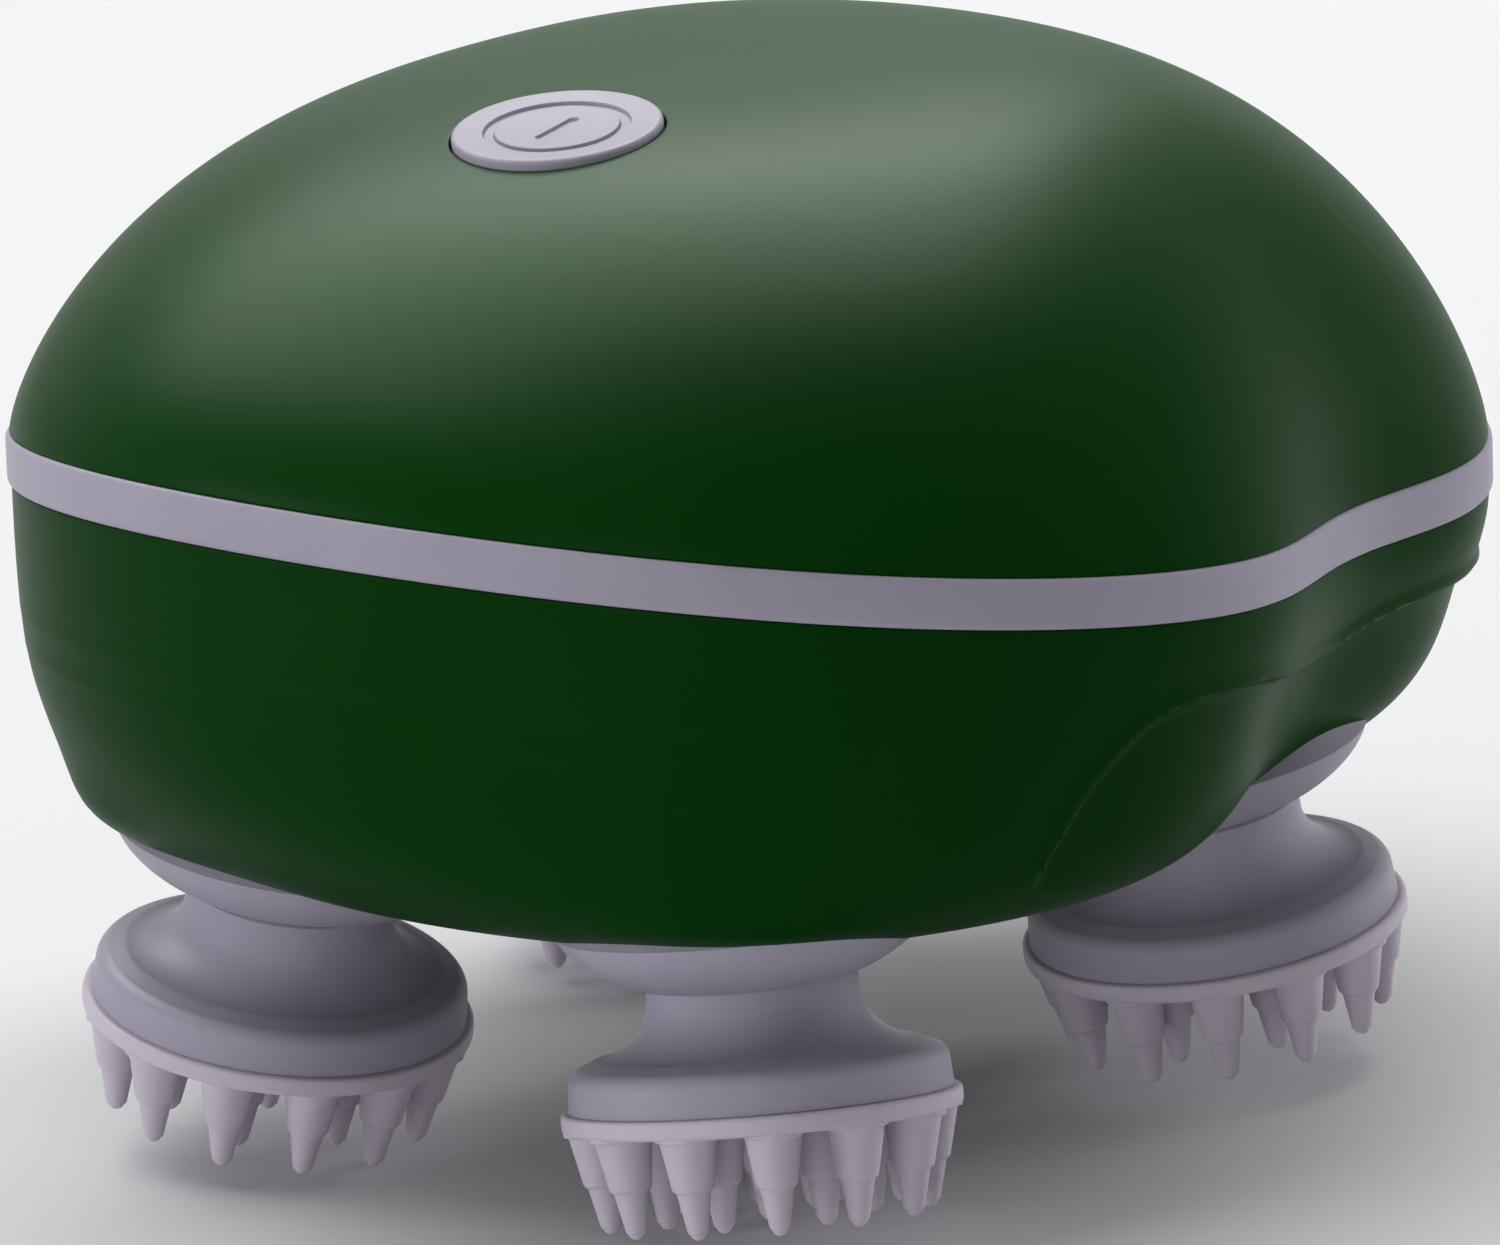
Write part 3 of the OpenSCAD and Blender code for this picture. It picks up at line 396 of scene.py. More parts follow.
def makeDome():
    lines, lengths, rimAngle = domeRays(0)
    edge = button["holeEdge"]
    table = []
    for a in np.linspace(math.pi / 2, 0, body["edgeSteps"])[:-1]:
        here = lengthAtRadius(lines, lengths, button["hole"] + edge * (1 - math.sin(a)))
        places = placesAlong(lines, lengths, here[:, None])[:, 0]
        table.append(places - buttonAxis * edge * (1 - math.cos(a)))
    first = lengthAtRadius(lines, lengths, button["hole"] + edge)
    last = lengths[:, -1] - dome["rimSoft"]
    share = np.linspace(0, 1, dome["rows"])
    wanted = first[:, None] + (last - first)[:, None] * share
    table += list(placesAlong(lines, lengths, wanted).transpose(1, 0, 2))
    half, soft = body["bandHeight"] / 2, dome["rimSoft"]
    for a in np.linspace(0, math.pi / 2, body["edgeSteps"])[1:]:
        inset, rise = soft * (1 - math.cos(a)), half + soft * (1 - math.sin(a))
        table.append(seamPlace(rimAngle, inset, rise))
    lines, lengths, rimAngle = domeRays(body["wall"])
    table.append(seamPlace(rimAngle, body["wall"], half))
    first = lengthAtRadius(lines, lengths, button["hole"])
    share = np.linspace(1, 0, dome["innerRows"])[1:]
    wanted = first[:, None] + (lengths[:, -1] - first)[:, None] * share
    table += list(placesAlong(lines, lengths, wanted).transpose(1, 0, 2))
    table.append(table[0])
    table = closedRound(np.array(table))
    obj = sheetFromTable("dome", table)
    smooth(obj, angle=40)
    return obj


dress(makeDome(), "upper_shell")
print("dome modelled")


# lower shell: rows down from the seam, with the finger scoops, their creases, faint ridges
# and a swelling before the front collars
# a mark of the crease's line is degrees round from the front, then the share of the way down

tub = {"across": 4, "down": 3.9, "sink": 0.8, "back": 3.2, "gripDepth": 4.6, "gripBack": 25,
       "gripReach": 38, "gripStart": 0.35, "clamp": 0.35, "columns": 430, "rows": 165,
       "innerRows": 26, "lipTop": 0.55, "lipInset": 1.4, "rimSoft": 0.18,
       "swell": 2.4, "swellAngle": 36, "swellSpread": 12, "swellHeight": 0.8, "swellReach": 0.13,
       "samples": 1600, "crowding": 0.32, "spacing": 1.12}
denser = {"start": 52, "stop": 158, "fade": 6, "extra": 2.2, "samples": 3601}
crease = {"line": [(60.8, .736), (61.5, .633), (63.2, .514), (64.8, .429), (67, .354), (69.2, .292),
                   (72, .249), (76.2, .232), (82.8, .229), (93.5, .299), (102.8, .322),
                   (108.2, .282), (112.2, .264), (117.3, .262), (124, .274), (132, .285),
                   (141, .30), (150, .32)],
          "lip": 0.34, "lipPlace": -0.6, "lipWidth": 0.55, "drop": 0.8,
          "dropStart": -0.3, "dropWidth": 1.0, "dropReach": 8.0, "startFade": 4.0,
          "endFade": 22.0, "start": 54, "stop": 156, "sideStart": 50, "sideStop": 160,
          "sideSamples": 400}
ridges = {"heights": (0.295, 0.385), "size": 0.10, "width": 0.016, "spread": 50, "fade": 12}


def tubLines(angle, inset):
    t = np.linspace(0, 1, tub["samples"])
    h = np.sin(math.pi / 2 * t) ** (2 / tub["down"])
    r = np.cos(math.pi / 2 * t) ** (2 / tub["across"])
    r[-1] = 0
    turn = np.degrees(np.abs((angle + math.pi) % (2 * math.pi) - math.pi))[:, None]
    r = r * (1 + tub["swell"] / body["halfWidth"]
             * np.exp(-((turn - tub["swellAngle"]) / tub["swellSpread"]) ** 2)
             * np.exp(-((h - tub["swellHeight"]) / tub["swellReach"]) ** 2))
    x, y = rimPlace(angle, inset)
    x, y = x[:, None], y[:, None]
    grip = tub["gripDepth"] / body["halfWidth"] \
        * np.exp(-((x + tub["gripBack"]) / tub["gripReach"]) ** 2) \
        * (1 - np.exp(-(h / tub["gripStart"]) ** 2))
    low = seamHeight(x) - body["bandHeight"] / 2
    z = low * (1 - h) + (body["floor"] - tub["sink"] + inset) * h
    over = z - body["floor"] - inset
    z = body["floor"] + inset + (over + np.sqrt(over ** 2 + tub["clamp"] ** 2)) / 2
    lines = np.stack([tub["back"] * (r - 1) + x * r, y * (1 - waist(x) - grip) * r, z], -1)
    return lines, lengthsOf(lines), h


def softLine(points, count=260, window=17):
    points = np.array(points, float)
    along = np.concatenate([[0], np.cumsum(np.hypot(*np.diff(points, axis=0).T))])
    even = np.linspace(0, along[-1], count)
    weights = np.hanning(window + 2)[1:-1]
    weights /= weights.sum()
    out = []
    for axis in range(2):
        values = np.interp(even, along, points[:, axis])
        padded = np.pad(values, window // 2, mode="reflect", reflect_type="odd")
        out.append(np.convolve(padded, weights, mode="valid"))
    return np.array(out).T


# signed distance to the crease, positive inside the scoop, and how strong the crease is there
def creaseField(angle, depth):
    fine = np.radians(np.linspace(crease["sideStart"], crease["sideStop"], crease["sideSamples"]))
    x, y = rimPlace(fine, 0)
    sideLength = np.concatenate([[0], np.cumsum(np.hypot(np.diff(x), np.diff(y)))])
    marks = np.array(crease["line"])
    lines, lengths, h = tubLines(np.radians(marks[:, 0]), 0)
    down = [np.interp(marks[k, 1], h, lengths[k]) for k in range(len(marks))]
    path = softLine(np.stack([np.interp(np.radians(marks[:, 0]), fine, sideLength), down], 1))
    ahead = np.diff(path, axis=0)
    along = np.concatenate([[0], np.cumsum(np.hypot(*ahead.T))])
    here = np.stack([np.interp(angle, fine, sideLength), depth], -1)
    best = np.full(len(here), 1e9)
    signed, where = np.zeros(len(here)), np.zeros(len(here))
    for k, step in enumerate(ahead):
        size = np.hypot(*step)
        rel = here - path[k]
        t = np.clip(rel @ step / size ** 2, 0, 1)
        off = rel - t[:, None] * step
        gap = np.hypot(off[:, 0], off[:, 1])
        side = step[0] * rel[:, 1] - step[1] * rel[:, 0]
        nearer = gap < best
        best[nearer] = gap[nearer]
        signed[nearer] = (np.sign(side) * gap)[nearer]
        where[nearer] = along[k] + t[nearer] * size
    strength = eased(where / crease["startFade"]) \
        * eased((along[-1] - where) / crease["endFade"])
    return signed, strength


def tubRelief(angle, lengths, heights):
    turn = np.abs((angle + math.pi) % (2 * math.pi) - math.pi)
    relief = np.zeros(lengths.shape)
    flank = (turn > math.radians(crease["start"])) & (turn < math.radians(crease["stop"]))
    grid = np.repeat(turn[flank][:, None], lengths.shape[1], axis=1)
    signed, strength = creaseField(grid.ravel(), lengths[flank].ravel())
    lip = crease["lip"] * np.exp(-((signed - crease["lipPlace"]) / crease["lipWidth"]) ** 2)
    drop = -crease["drop"] * eased((signed - crease["dropStart"]) / crease["dropWidth"]) \
        * np.exp(-(np.maximum(signed, 0) / crease["dropReach"]) ** 2)
    relief[flank] = ((lip + drop) * strength).reshape(grid.shape)
    front = eased((math.radians(ridges["spread"]) - turn) / math.radians(ridges["fade"]))[:, None]
    for h in ridges["heights"]:
        relief += ridges["size"] * front * np.exp(-((heights - h) / ridges["width"]) ** 2)
    return relief


# columns of the tub, closer together along the flanks
def tubAngles():
    fine = np.linspace(-math.pi, math.pi, denser["samples"])
    turn = np.degrees(np.abs(fine))
    density = 1 + denser["extra"] * eased((turn - denser["start"]) / denser["fade"]) \
        * eased((denser["stop"] - turn) / denser["fade"])
    filled = np.concatenate([[0], np.cumsum((density[1:] + density[:-1]) / 2)])
    return np.interp(np.linspace(0, filled[-1], tub["columns"] + 1)[:-1], filled, fine)


def makeTub():
    angle = tubAngles()
    lines, lengths, h = tubLines(angle, 0)
    share = np.linspace(0, 1, tub["rows"])
    share = share + tub["crowding"] / math.pi * np.sin(math.pi * share) \
        * np.cos(math.pi * share / 2)
    share[-1] = 1
    wanted = tub["rimSoft"] + (lengths[:, -1:] - tub["rimSoft"]) * share ** tub["spacing"]
    outer = placesAlong(lines, lengths, wanted)
    heights = np.array([np.interp(wanted[k], lengths[k], h) for k in range(len(angle))])
    wrapped = np.concatenate([outer[-1:], outer, outer[:1]])
    normal = np.cross(np.gradient(wrapped, axis=1)[1:-1], (wrapped[2:] - wrapped[:-2]) / 2)
    size = np.linalg.norm(normal, axis=2, keepdims=True)
    normal = np.where(size > 1e-9, normal / np.maximum(size, 1e-9), 0)
    outward = np.sign(np.mean(np.sum(normal[:, 5] * outer[:, 5] * [1, 1, 0], axis=1)))
    relief = tubRelief(angle, wanted, heights)
    outer += outward * normal * relief[..., None]
    half, soft = body["bandHeight"] / 2, tub["rimSoft"]
    table = [seamPlace(angle, body["wall"], tub["lipTop"]),
             seamPlace(angle, tub["lipInset"], tub["lipTop"]),
             seamPlace(angle, tub["lipInset"], -half)]
    for a in np.linspace(math.pi / 2, 0, body["edgeSteps"])[:-1]:
        inset, rise = soft * (1 - math.cos(a)), -half - soft * (1 - math.sin(a))
        table.append(seamPlace(angle, inset, rise))
    table += list(outer.transpose(1, 0, 2))
    lines, lengths, _ = tubLines(angle, body["wall"])
    wanted = lengths[:, -1:] * np.linspace(1, 0, tub["innerRows"])
    table += list(placesAlong(lines, lengths, wanted).transpose(1, 0, 2))
    table.append(table[0])
    return sheetFromTable("tub", closedRound(np.array(table)))


# frames of the four heads: the collar's, and that of the disc that rocks on its spindle

heads = {"front_left": {"x": 32.4, "y": 21.4, "heading": 62, "rock": 18, "turn": 10},
         "front_right": {"x": 32.4, "y": -21.4, "heading": -62, "rock": 200, "turn": 21},
         "rear_left": {"x": -19.9, "y": 25.8, "heading": 118, "rock": 247, "turn": 3},
         "rear_right": {"x": -19.9, "y": -25.8, "heading": -118, "rock": 160, "turn": 24}}
headPlace = {"pivot": 20.4013, "splay": 9.7, "swash": 4.5}


def lean(angle, heading):
    heading = math.radians(heading)
    return Matrix.Rotation(heading, 4, "Z") @ Matrix.Rotation(-math.radians(angle), 4, "Y") \
        @ Matrix.Rotation(-heading, 4, "Z")


for head in heads.values():
    place = Vector((head["x"], head["y"], headPlace["pivot"])) * mm
    head["collarFrame"] = Matrix.Translation(place) @ lean(headPlace["splay"], head["heading"])
    head["discFrame"] = head["collarFrame"] @ lean(headPlace["swash"], head["rock"])


# collar: a shallow bowl with a mouth for the neck and a sleeve for the bush

collar = {"radius": 14.1, "sphere": 14.4, "bowl": 7.1, "mouth": 8.35, "mouthEdge": 0.35,
          "top": 8.2, "wall": 1.5, "webFloor": 1.47, "web": 2.27, "sleeve": 6.0, "bush": 4.2,
          "sleeveTop": 9.17, "bore": 3.1, "taper": 3, "hollowCut": 0.3, "hollowFoot": 1.6}


def bowlSection(grow, steps=28):
    start = math.asin(collar["mouth"] / collar["sphere"])
    stop = math.asin(collar["radius"] / collar["sphere"])
    return [((collar["sphere"] + grow) * math.sin(a),
             collar["bowl"] * (math.cos(start) - math.cos(a)) - grow)
            for a in np.linspace(start, stop, steps)]


def makeCollar():
    c = collar
    bowl = bowlSection(0)
    profile = softened([(c["mouth"], c["webFloor"]), (c["mouth"], bowl[0][1], c["mouthEdge"]),
                        (bowl[2][0], bowl[2][1])])[:-1] + [np.array(p) for p in bowl[2:]]
    rim, foot = c["radius"] - c["wall"], c["web"] + c["hollowFoot"]
    profile += [np.array(p) for p in (
        (c["radius"] - c["taper"], c["top"]), (rim - c["taper"], c["top"]),
        (rim - c["hollowCut"], foot), (c["sleeve"], foot),
        (c["sleeve"], c["sleeveTop"]), (c["bush"], c["sleeveTop"]), (c["bush"], c["web"]),
        (c["bore"], c["web"]), (c["bore"], c["webFloor"]))]
    return lathe("collar", profile, segments=128)


screws = {"places": [(38, 0), (-44.0625, 0), (-1, 31.5), (-1, -31.5)], "headRadius": 2.3,
          "headHeight": 1.4, "headSoft": 0.5, "seat": 4.0, "well": 2.5, "thread": 1.25,
          "length": 22.3, "play": 0.15, "post": 3.4, "postFoot": 1.9, "postTop": 43.8,
          "slotWidth": 0.55, "slotReach": 1.25, "slotDepth": 0.8, "segments": 48}
socket = {"height": 12, "radius": 4, "rimSoft": 0.3, "bore": 1.75, "boreSoft": 0.25,
          "boreDepth": 9.9, "pin": 0.65, "pinSoft": 0.3, "pinStart": 1.5, "pinRoot": 0.5,
          "face": -58.45, "length": 10.88}

# holes through the tub for the collars, the heads of the screws and the socket
holes = {"overlap": 0.35, "steps": 10, "reach": 20, "segments": 64, "screwDepth": 6,
         "screwRise": 1, "socketPlay": 0.1, "socketDepth": 12, "socketMiddle": -56}


def makeCutters():
    h = holes
    cutters = []
    for head in heads.values():
        section = bowlSection(-h["overlap"], h["steps"])
        inside = section[-1][0] - collar["taper"]
        cutter = lathe("cutter", [(0, section[0][1])] + section
                       + [(inside, collar["top"]), (inside, h["reach"]), (0, h["reach"])],
                       h["segments"])
        cutters.append(settle(cutter, head["collarFrame"]))
    for x, y in screws["places"]:
        bpy.ops.mesh.primitive_cylinder_add(
            vertices=screws["segments"], radius=screws["well"] * mm, depth=h["screwDepth"] * mm,
            location=(x * mm, y * mm, (body["floor"] + h["screwRise"]) * mm))
        cutters.append(bpy.context.object)
    bpy.ops.mesh.primitive_cylinder_add(
        vertices=h["segments"], radius=(socket["radius"] + h["socketPlay"]) * mm,
        depth=h["socketDepth"] * mm, rotation=(0, math.pi / 2, 0),
        location=(h["socketMiddle"] * mm, 0, (body["floor"] + socket["height"]) * mm))
    cutters.append(bpy.context.object)
    return cutters


tubShell = makeTub()
for cutter in makeCutters():
    cutAway(tubShell, cutter)
smooth(tubShell, angle=40)


# a post for a case screw, standing on the floor inside
def makePost(x, y):
    s = screws
    foot, seat = body["floor"] + s["postFoot"], body["floor"] + s["seat"]
    bore = s["thread"] + s["play"]
    post = lathe("post", [(s["well"], foot), (s["post"], foot), (s["post"], s["postTop"]),
                          (bore, s["postTop"]), (bore, seat), (s["well"], seat)], s["segments"])
    return settle(post, Matrix.Translation((x * mm, y * mm, 0)))


posts = [makePost(x, y) for x, y in screws["places"]]
dress(joined(tubShell, *posts), "lower_shell")
print("tub modelled")


# band along the seam

band = {"inner": 1.4, "proud": 0.3, "cut": 0.5, "columns": 400}


def makeBand():
    half = body["bandHeight"] / 2
    section = softened([(band["inner"], -half), (-band["proud"], -half, band["cut"]),
                        (-band["proud"], half, band["cut"]), (band["inner"], half)])
    angle = np.linspace(0, 2 * math.pi, band["columns"] + 1)
    table = np.array([seamPlace(angle, inset, rise) for inset, rise in section + section[:1]])
    obj = sheetFromTable("band", table)
    smooth(obj, angle=40)
    return obj


dress(makeBand(), "trim_band")


# button: a dished face with a ring and a bar sunk in it, over a flange and a short stem

def makeButton():
    b = button
    edge = b["edge"]
    radii = np.concatenate([np.linspace(*group) for group in b["rows"]])
    around = np.linspace(0, 2 * math.pi, b["columns"] + 1)
    x, y = radii[:, None] * np.cos(around), radii[:, None] * np.sin(around)
    z = b["proud"] - b["dish"] * (1 - (radii / b["radius"]) ** 2)
    half, soft = b["groove"] / 2, b["grooveSoft"]
    ring = eased((half + soft / 2 - np.abs(radii - b["ringRadius"])) / soft)[:, None]
    pastEnd = np.maximum(np.abs(x) - b["barHalf"] + half, 0)
    bar = eased((half + soft / 2 - np.hypot(pastEnd, y)) / soft)
    z = z[:, None] - b["grooveDepth"] * np.maximum(ring, bar)
    table = list(np.stack([x, y, z], -1))
    rim = b["proud"] - b["rimDrop"]
    side = [(b["radius"] - edge * (1 - math.sin(a)), rim - edge * (1 - math.cos(a)))
            for a in np.linspace(0, math.pi / 2, b["edgeSteps"])[1:]]
    side += [(b["radius"], b["flangeTop"]), (b["flangeRadius"], b["flangeTop"]),
             (b["flangeRadius"], b["flangeBottom"]), (b["stemRadius"], b["flangeBottom"]),
             (b["stemRadius"], b["stemEnd"]), (0, b["stemEnd"])]
    for r, low in side:
        table.append(np.stack([r * np.cos(around), r * np.sin(around),
                               np.full(len(around), low)], -1))
    centre = np.zeros((len(around), 3))
    centre[:, 2] = z[0].mean()
    obj = sheetFromTable("button", np.array([centre] + table))
    smooth(obj)
    return settle(obj, buttonFrame)


dress(makeButton(), "power_button")
print("band and button modelled")


# head disc: a neck that flares into a round shoulder, hollow underneath

disc = {"neck": 7.9, "neckTop": 0.5, "neckCut": 0.3, "flare": 5.0, "flareTop": -1.15,
        "flareHeight": 4.3, "flareTurn": 82, "shoulder": -5.8, "soft": 1.3, "softStart": 8,
        "side": 14.15, "sideLow": 14.3, "low": -9.1, "lowSoft": 0.12, "lip": 1.6,
        "hollowSide": 1.8, "hollowTop": 1.9, "hubFoot": 1.2, "hub": 4.4, "hubEnd": -7.7,
        "knuckle": 3.02, "bore": 2.02, "boreEnd": -6.5, "screwBore": 1.05}


def makeDisc():
    d = disc
    profile = [(d["neck"] - d["neckCut"], d["neckTop"]), (d["neck"], d["neckTop"] - d["neckCut"])]
    profile += [(d["neck"] + d["flare"] * (1 - math.cos(a)),
                 d["flareTop"] - d["flareHeight"] * math.sin(a))
                for a in np.radians(np.linspace(0, d["flareTurn"], 26))]
    profile += [(d["side"] - d["soft"] * (1 - math.sin(a)),
                 d["shoulder"] - d["soft"] * (1 - math.cos(a)))
                for a in np.radians(np.linspace(d["softStart"], 90, 14))]
    profile += softened([(d["side"], d["shoulder"] - d["soft"]),
                         (d["sideLow"], d["low"], d["lowSoft"]),
                         (d["sideLow"] - d["lip"], d["low"])])[1:]
    profile += [(d["sideLow"] - d["hollowSide"], d["shoulder"] - d["hollowTop"]),
                (d["hub"] + d["hubFoot"], d["shoulder"] - d["hubFoot"]), (d["hub"], d["hubEnd"]),
                (d["screwBore"], d["hubEnd"]), (d["screwBore"], d["boreEnd"]),
                (d["bore"], d["boreEnd"])]
    low, high = math.asin(d["bore"] / d["knuckle"]), math.acos(-d["neckTop"] / d["knuckle"])
    profile += [(d["knuckle"] * math.sin(a), -d["knuckle"] * math.cos(a))
                for a in np.linspace(low, high, 8)]
    return lathe("disc", profile, segments=128)


# finger pad: a soft plate with a bead round it and stepped fingers below

pad = {"radius": 14.9, "rim": 1.5, "place": -10.6, "lock": 12.5, "lockInner": 11.3,
       "lockHeight": 2.3, "bead": 0.55, "beadTop": 0.4, "outerRing": 12.3, "innerRing": 7.6,
       "outerCount": 12, "innerCount": 6, "lean": 4}
finger = {"length": 7.6, "root": 2.1, "rise": 0.6, "fillet": 0.4, "step": 1.56,
          "stepSoft": 0.12, "stepDown": 0.22, "below": 1.28, "belowSoft": 0.1, "tip": 0.65,
          "coneGrow": 0.12, "coneEnd": 0.9, "tipStart": 12}


def makeFinger():
    f = finger
    half = -f["length"] / 2
    profile = [(0, f["rise"]), (f["root"] + f["fillet"], f["rise"])]
    profile += [(f["root"] + f["fillet"] * (1 - math.sin(a)), -f["fillet"] * (1 - math.cos(a)))
                for a in np.linspace(0, math.pi / 2, 6)]
    profile += softened([profile[-1], (f["step"], half, f["stepSoft"]),
                         (f["below"], half - f["stepDown"], f["belowSoft"]),
                         (f["tip"] + f["coneGrow"], -f["length"] + f["tip"] * f["coneEnd"])],
                        steps=3)[1:]
    profile += [(f["tip"] * math.cos(a), -f["length"] + f["tip"] * (1 - math.sin(a)))
                for a in np.radians(np.linspace(f["tipStart"], 90, 8))]
    return lathe("finger", profile, segments=36, angle=50)


def makePad():
    p = pad
    plate = lathe("pad", softened([(0, 0), (p["radius"], 0, p["bead"]),
                                   (p["radius"], p["rim"], p["beadTop"]), (p["lock"], p["rim"]),
                                   (p["lock"], p["lockHeight"]), (p["lockInner"], p["lockHeight"]),
                                   (p["lockInner"], p["rim"]), (0, p["rim"])]), segments=128)
    first = makeFinger()
    members = []
    for count, radius, angle in ((p["outerCount"], p["outerRing"], p["lean"]),
                                 (p["innerCount"], p["innerRing"], 0)):
        for k in range(count):
            one = copyOf(first, "finger")
            settle(one, Matrix.Rotation(2 * math.pi * k / count, 4, "Z")
                   @ Matrix.Translation((radius * mm, 0, 0))
                   @ Matrix.Rotation(math.radians(angle), 4, "Y"))
            members.append(one)
    return joined(plate, first, *members)


collarModel, discModel, padModel = makeCollar(), makeDisc(), makePad()
for name, head in heads.items():
    dress(settle(copyOf(collarModel, "collar-" + name), head["collarFrame"]), "collar_" + name)
    dress(settle(copyOf(discModel, "disc-" + name), head["discFrame"]), "head_disc_" + name)
    turned = Matrix.Translation((0, 0, pad["place"] * mm)) \
        @ Matrix.Rotation(math.radians(head["turn"]), 4, "Z")
    dress(settle(copyOf(padModel, "pad-" + name), head["discFrame"] @ turned), "finger_pad_" + name)
for obj in (collarModel, discModel, padModel):
    bpy.data.objects.remove(obj)
print("four heads modelled")


# case screws with a cross recess, and the charging socket

def makeScrew():
    s = screws
    seat = body["floor"] + s["seat"]
    head = seat - s["headHeight"]
    end = seat + s["length"]
    screw = lathe("screw", softened([(0, head), (s["headRadius"], head, s["headSoft"]),
                                     (s["headRadius"], seat), (s["thread"], seat),
                                     (s["thread"], end), (0, end)]), s["segments"])
    for turn in (45, 135):
        bpy.ops.mesh.primitive_cube_add(size=1, location=(0, 0, head * mm))
        bar = bpy.context.object
        bar.scale = (2 * s["slotReach"] * mm, s["slotWidth"] * mm, 2 * s["slotDepth"] * mm)
        bar.rotation_euler = (0, 0, math.radians(turn))
        cutAway(screw, bar)
    smooth(screw)
    return screw


firstScrew = makeScrew()
spares = [settle(copyOf(firstScrew, "screw"), Matrix.Translation((x * mm, y * mm, 0)))
          for x, y in screws["places"]]
bpy.data.objects.remove(firstScrew)
allScrews = joined(*spares)
allScrews.name = "screws"
dress(allScrews, "case_screws")


def makeSocket():
    s = socket
    pinEnd = s["boreDepth"] + s["pinRoot"]
    tube = lathe("socket", softened([(s["bore"], 0, s["boreSoft"]), (s["radius"], 0, s["rimSoft"]),
                                     (s["radius"], s["length"]), (0, s["length"]),
                                     (0, s["boreDepth"]), (s["bore"], s["boreDepth"])]),
                 segments=64)
    pin = lathe("pin", softened([(0, s["pinStart"]), (s["pin"], s["pinStart"], s["pinSoft"]),
                                 (s["pin"], pinEnd), (0, pinEnd)]), segments=32)
    place = Matrix.Translation((s["face"] * mm, 0, (body["floor"] + s["height"]) * mm))
    return settle(joined(tube, pin), place @ Matrix.Rotation(math.pi / 2, 4, "Y"))


dress(makeSocket(), "charging_socket")
print("screws and socket modelled")


# floor, camera and lights

studio = {"floorSize": 6.0, "floorDrop": 0.0002, "floorRoughness": 0.8,
          "floorColour": (0.86, 0.86, 0.87), "sensor": 36, "clip": (0.05, 20),
          "elevation": 16.152,
          "sideAngle": 53.811, "roll": -1.868, "distance": 1.0267, "aimRight": -0.001616,
          "aimDown": -0.015195, "pivotHeight": 0.0204, "pixelsPerMetre": 13070.0,
          "frameWidth": 1500, "softLight": 0.16}

bpy.ops.mesh.primitive_plane_add(size=studio["floorSize"], location=(0, 0, -studio["floorDrop"]))
floor = bpy.context.object
floor.name = "floor"
floorMat, tree, bsdf = newMaterial("paleFloor")
bsdf.inputs["Base Color"].default_value = (*studio["floorColour"], 1)
bsdf.inputs["Roughness"].default_value = studio["floorRoughness"]
bsdf.inputs["Specular IOR Level"].default_value = 0
paint(floor, floorMat)

el = math.radians(studio["elevation"])
side = math.radians(studio["sideAngle"])
roll = math.radians(studio["roll"])
rightward = Vector((-math.cos(side), math.sin(side), 0))
downward = Vector((math.sin(side) * math.sin(el), math.cos(side) * math.sin(el), -math.cos(el)))
backward = Vector((math.sin(side) * math.cos(el), math.cos(side) * math.cos(el), math.sin(el)))
imageRight = rightward * math.cos(roll) - downward * math.sin(roll)
imageDown = rightward * math.sin(roll) + downward * math.cos(roll)
place = Vector((0, 0, studio["pivotHeight"])) + backward * studio["distance"] \
    + imageRight * studio["aimRight"] + imageDown * studio["aimDown"]
camData = bpy.data.cameras.new("camera")
cam = bpy.data.objects.new("camera", camData)
bpy.context.scene.collection.objects.link(cam)
camData.sensor_width = studio["sensor"]
camData.lens = studio["pixelsPerMetre"] * studio["distance"] / studio["frameWidth"] \
    * studio["sensor"]
camData.clip_start, camData.clip_end = studio["clip"]
turn = Matrix((imageRight, -imageDown, backward)).transposed()
cam.matrix_world = Matrix.Translation(place) @ turn.to_4x4()
bpy.context.scene.camera = cam


# places given from the camera's side: right, toward the camera, up
def fromCamera(right, toward, up):
    flat = Vector((math.sin(side), math.cos(side), 0))
    return rightward * right + flat * toward + Vector((0, 0, up))


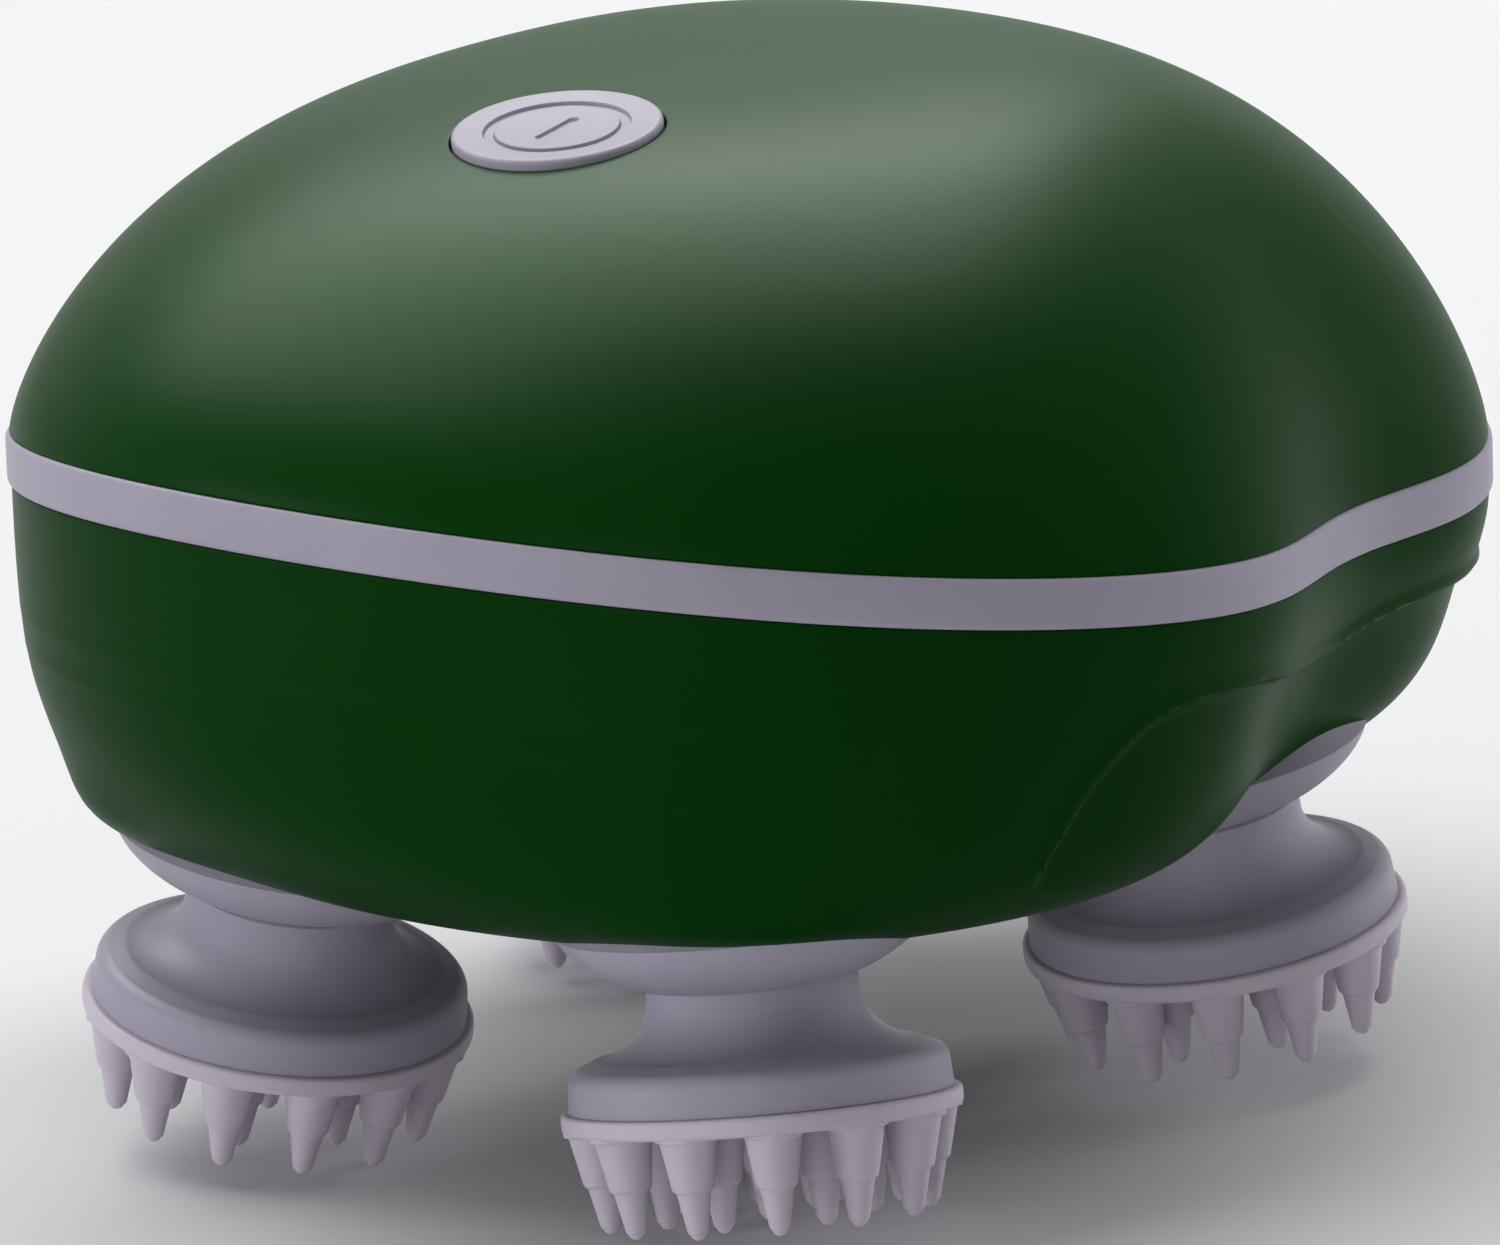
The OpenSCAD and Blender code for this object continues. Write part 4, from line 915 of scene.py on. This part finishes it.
# aim is the height above the floor that the lamp looks at
lamps = {"overhead": {"place": (-0.2, -0.25, 1.0), "aim": 0.05, "size": (1.5, 1.3), "power": 13},
         "leftSide": {"place": (-1.0, 0.3, 0.12), "aim": 0.01, "size": (0.6, 0.2), "power": 3.8},
         "rightSide": {"place": (0.95, -0.55, 0.2), "aim": 0.03, "size": (0.6, 0.3),
                       "power": 7.5, "glossy": False},
         "lowFill": {"place": (-0.3, 1.0, 0.08), "aim": 0, "size": (0.7, 0.16), "power": 2.2},
         "sheenBox": {"place": (-0.2, -0.45, 0.9), "aim": 0.06, "size": (1.5, 1.0),
                      "power": 56, "diffuse": False}}


def areaLight(name, lamp):
    data = bpy.data.lights.new(name, "AREA")
    data.shape = "RECTANGLE"
    data.size, data.size_y = lamp["size"]
    data.energy = lamp["power"]
    obj = bpy.data.objects.new(name, data)
    bpy.context.scene.collection.objects.link(obj)
    obj.location = fromCamera(*lamp["place"])
    toAim = Vector((0, 0, lamp["aim"])) - fromCamera(*lamp["place"])
    obj.rotation_euler = toAim.to_track_quat("-Z", "Y").to_euler()
    obj.visible_glossy = lamp.get("glossy", True)
    obj.visible_diffuse = lamp.get("diffuse", True)


for name, lamp in lamps.items():
    areaLight(name, lamp)

world = bpy.data.worlds.new("studio")
bpy.context.scene.world = world
world.use_nodes = True
wt = world.node_tree
wt.nodes.clear()
wout = wt.nodes.new("ShaderNodeOutputWorld")
soft, white = wt.nodes.new("ShaderNodeBackground"), wt.nodes.new("ShaderNodeBackground")
soft.inputs["Strength"].default_value = studio["softLight"]
white.inputs["Strength"].default_value = 1.0
white.inputs["Color"].default_value = (1, 1, 1, 1)
path = wt.nodes.new("ShaderNodeLightPath")
sums = [wt.nodes.new("ShaderNodeMath") for k in range(2)]
for node in sums:
    node.operation = "ADD"
    node.use_clamp = True
wmix = wt.nodes.new("ShaderNodeMixShader")
wt.links.new(path.outputs["Is Camera Ray"], sums[0].inputs[0])
wt.links.new(path.outputs["Is Glossy Ray"], sums[0].inputs[1])
wt.links.new(sums[0].outputs["Value"], sums[1].inputs[0])
wt.links.new(path.outputs["Is Transmission Ray"], sums[1].inputs[1])
wt.links.new(sums[1].outputs["Value"], wmix.inputs["Fac"])
wt.links.new(soft.outputs["Background"], wmix.inputs[1])
wt.links.new(white.outputs["Background"], wmix.inputs[2])
wt.links.new(wmix.outputs["Shader"], wout.inputs["Surface"])
bpy.context.scene.view_settings.view_transform = "Standard"
print("studio ready")
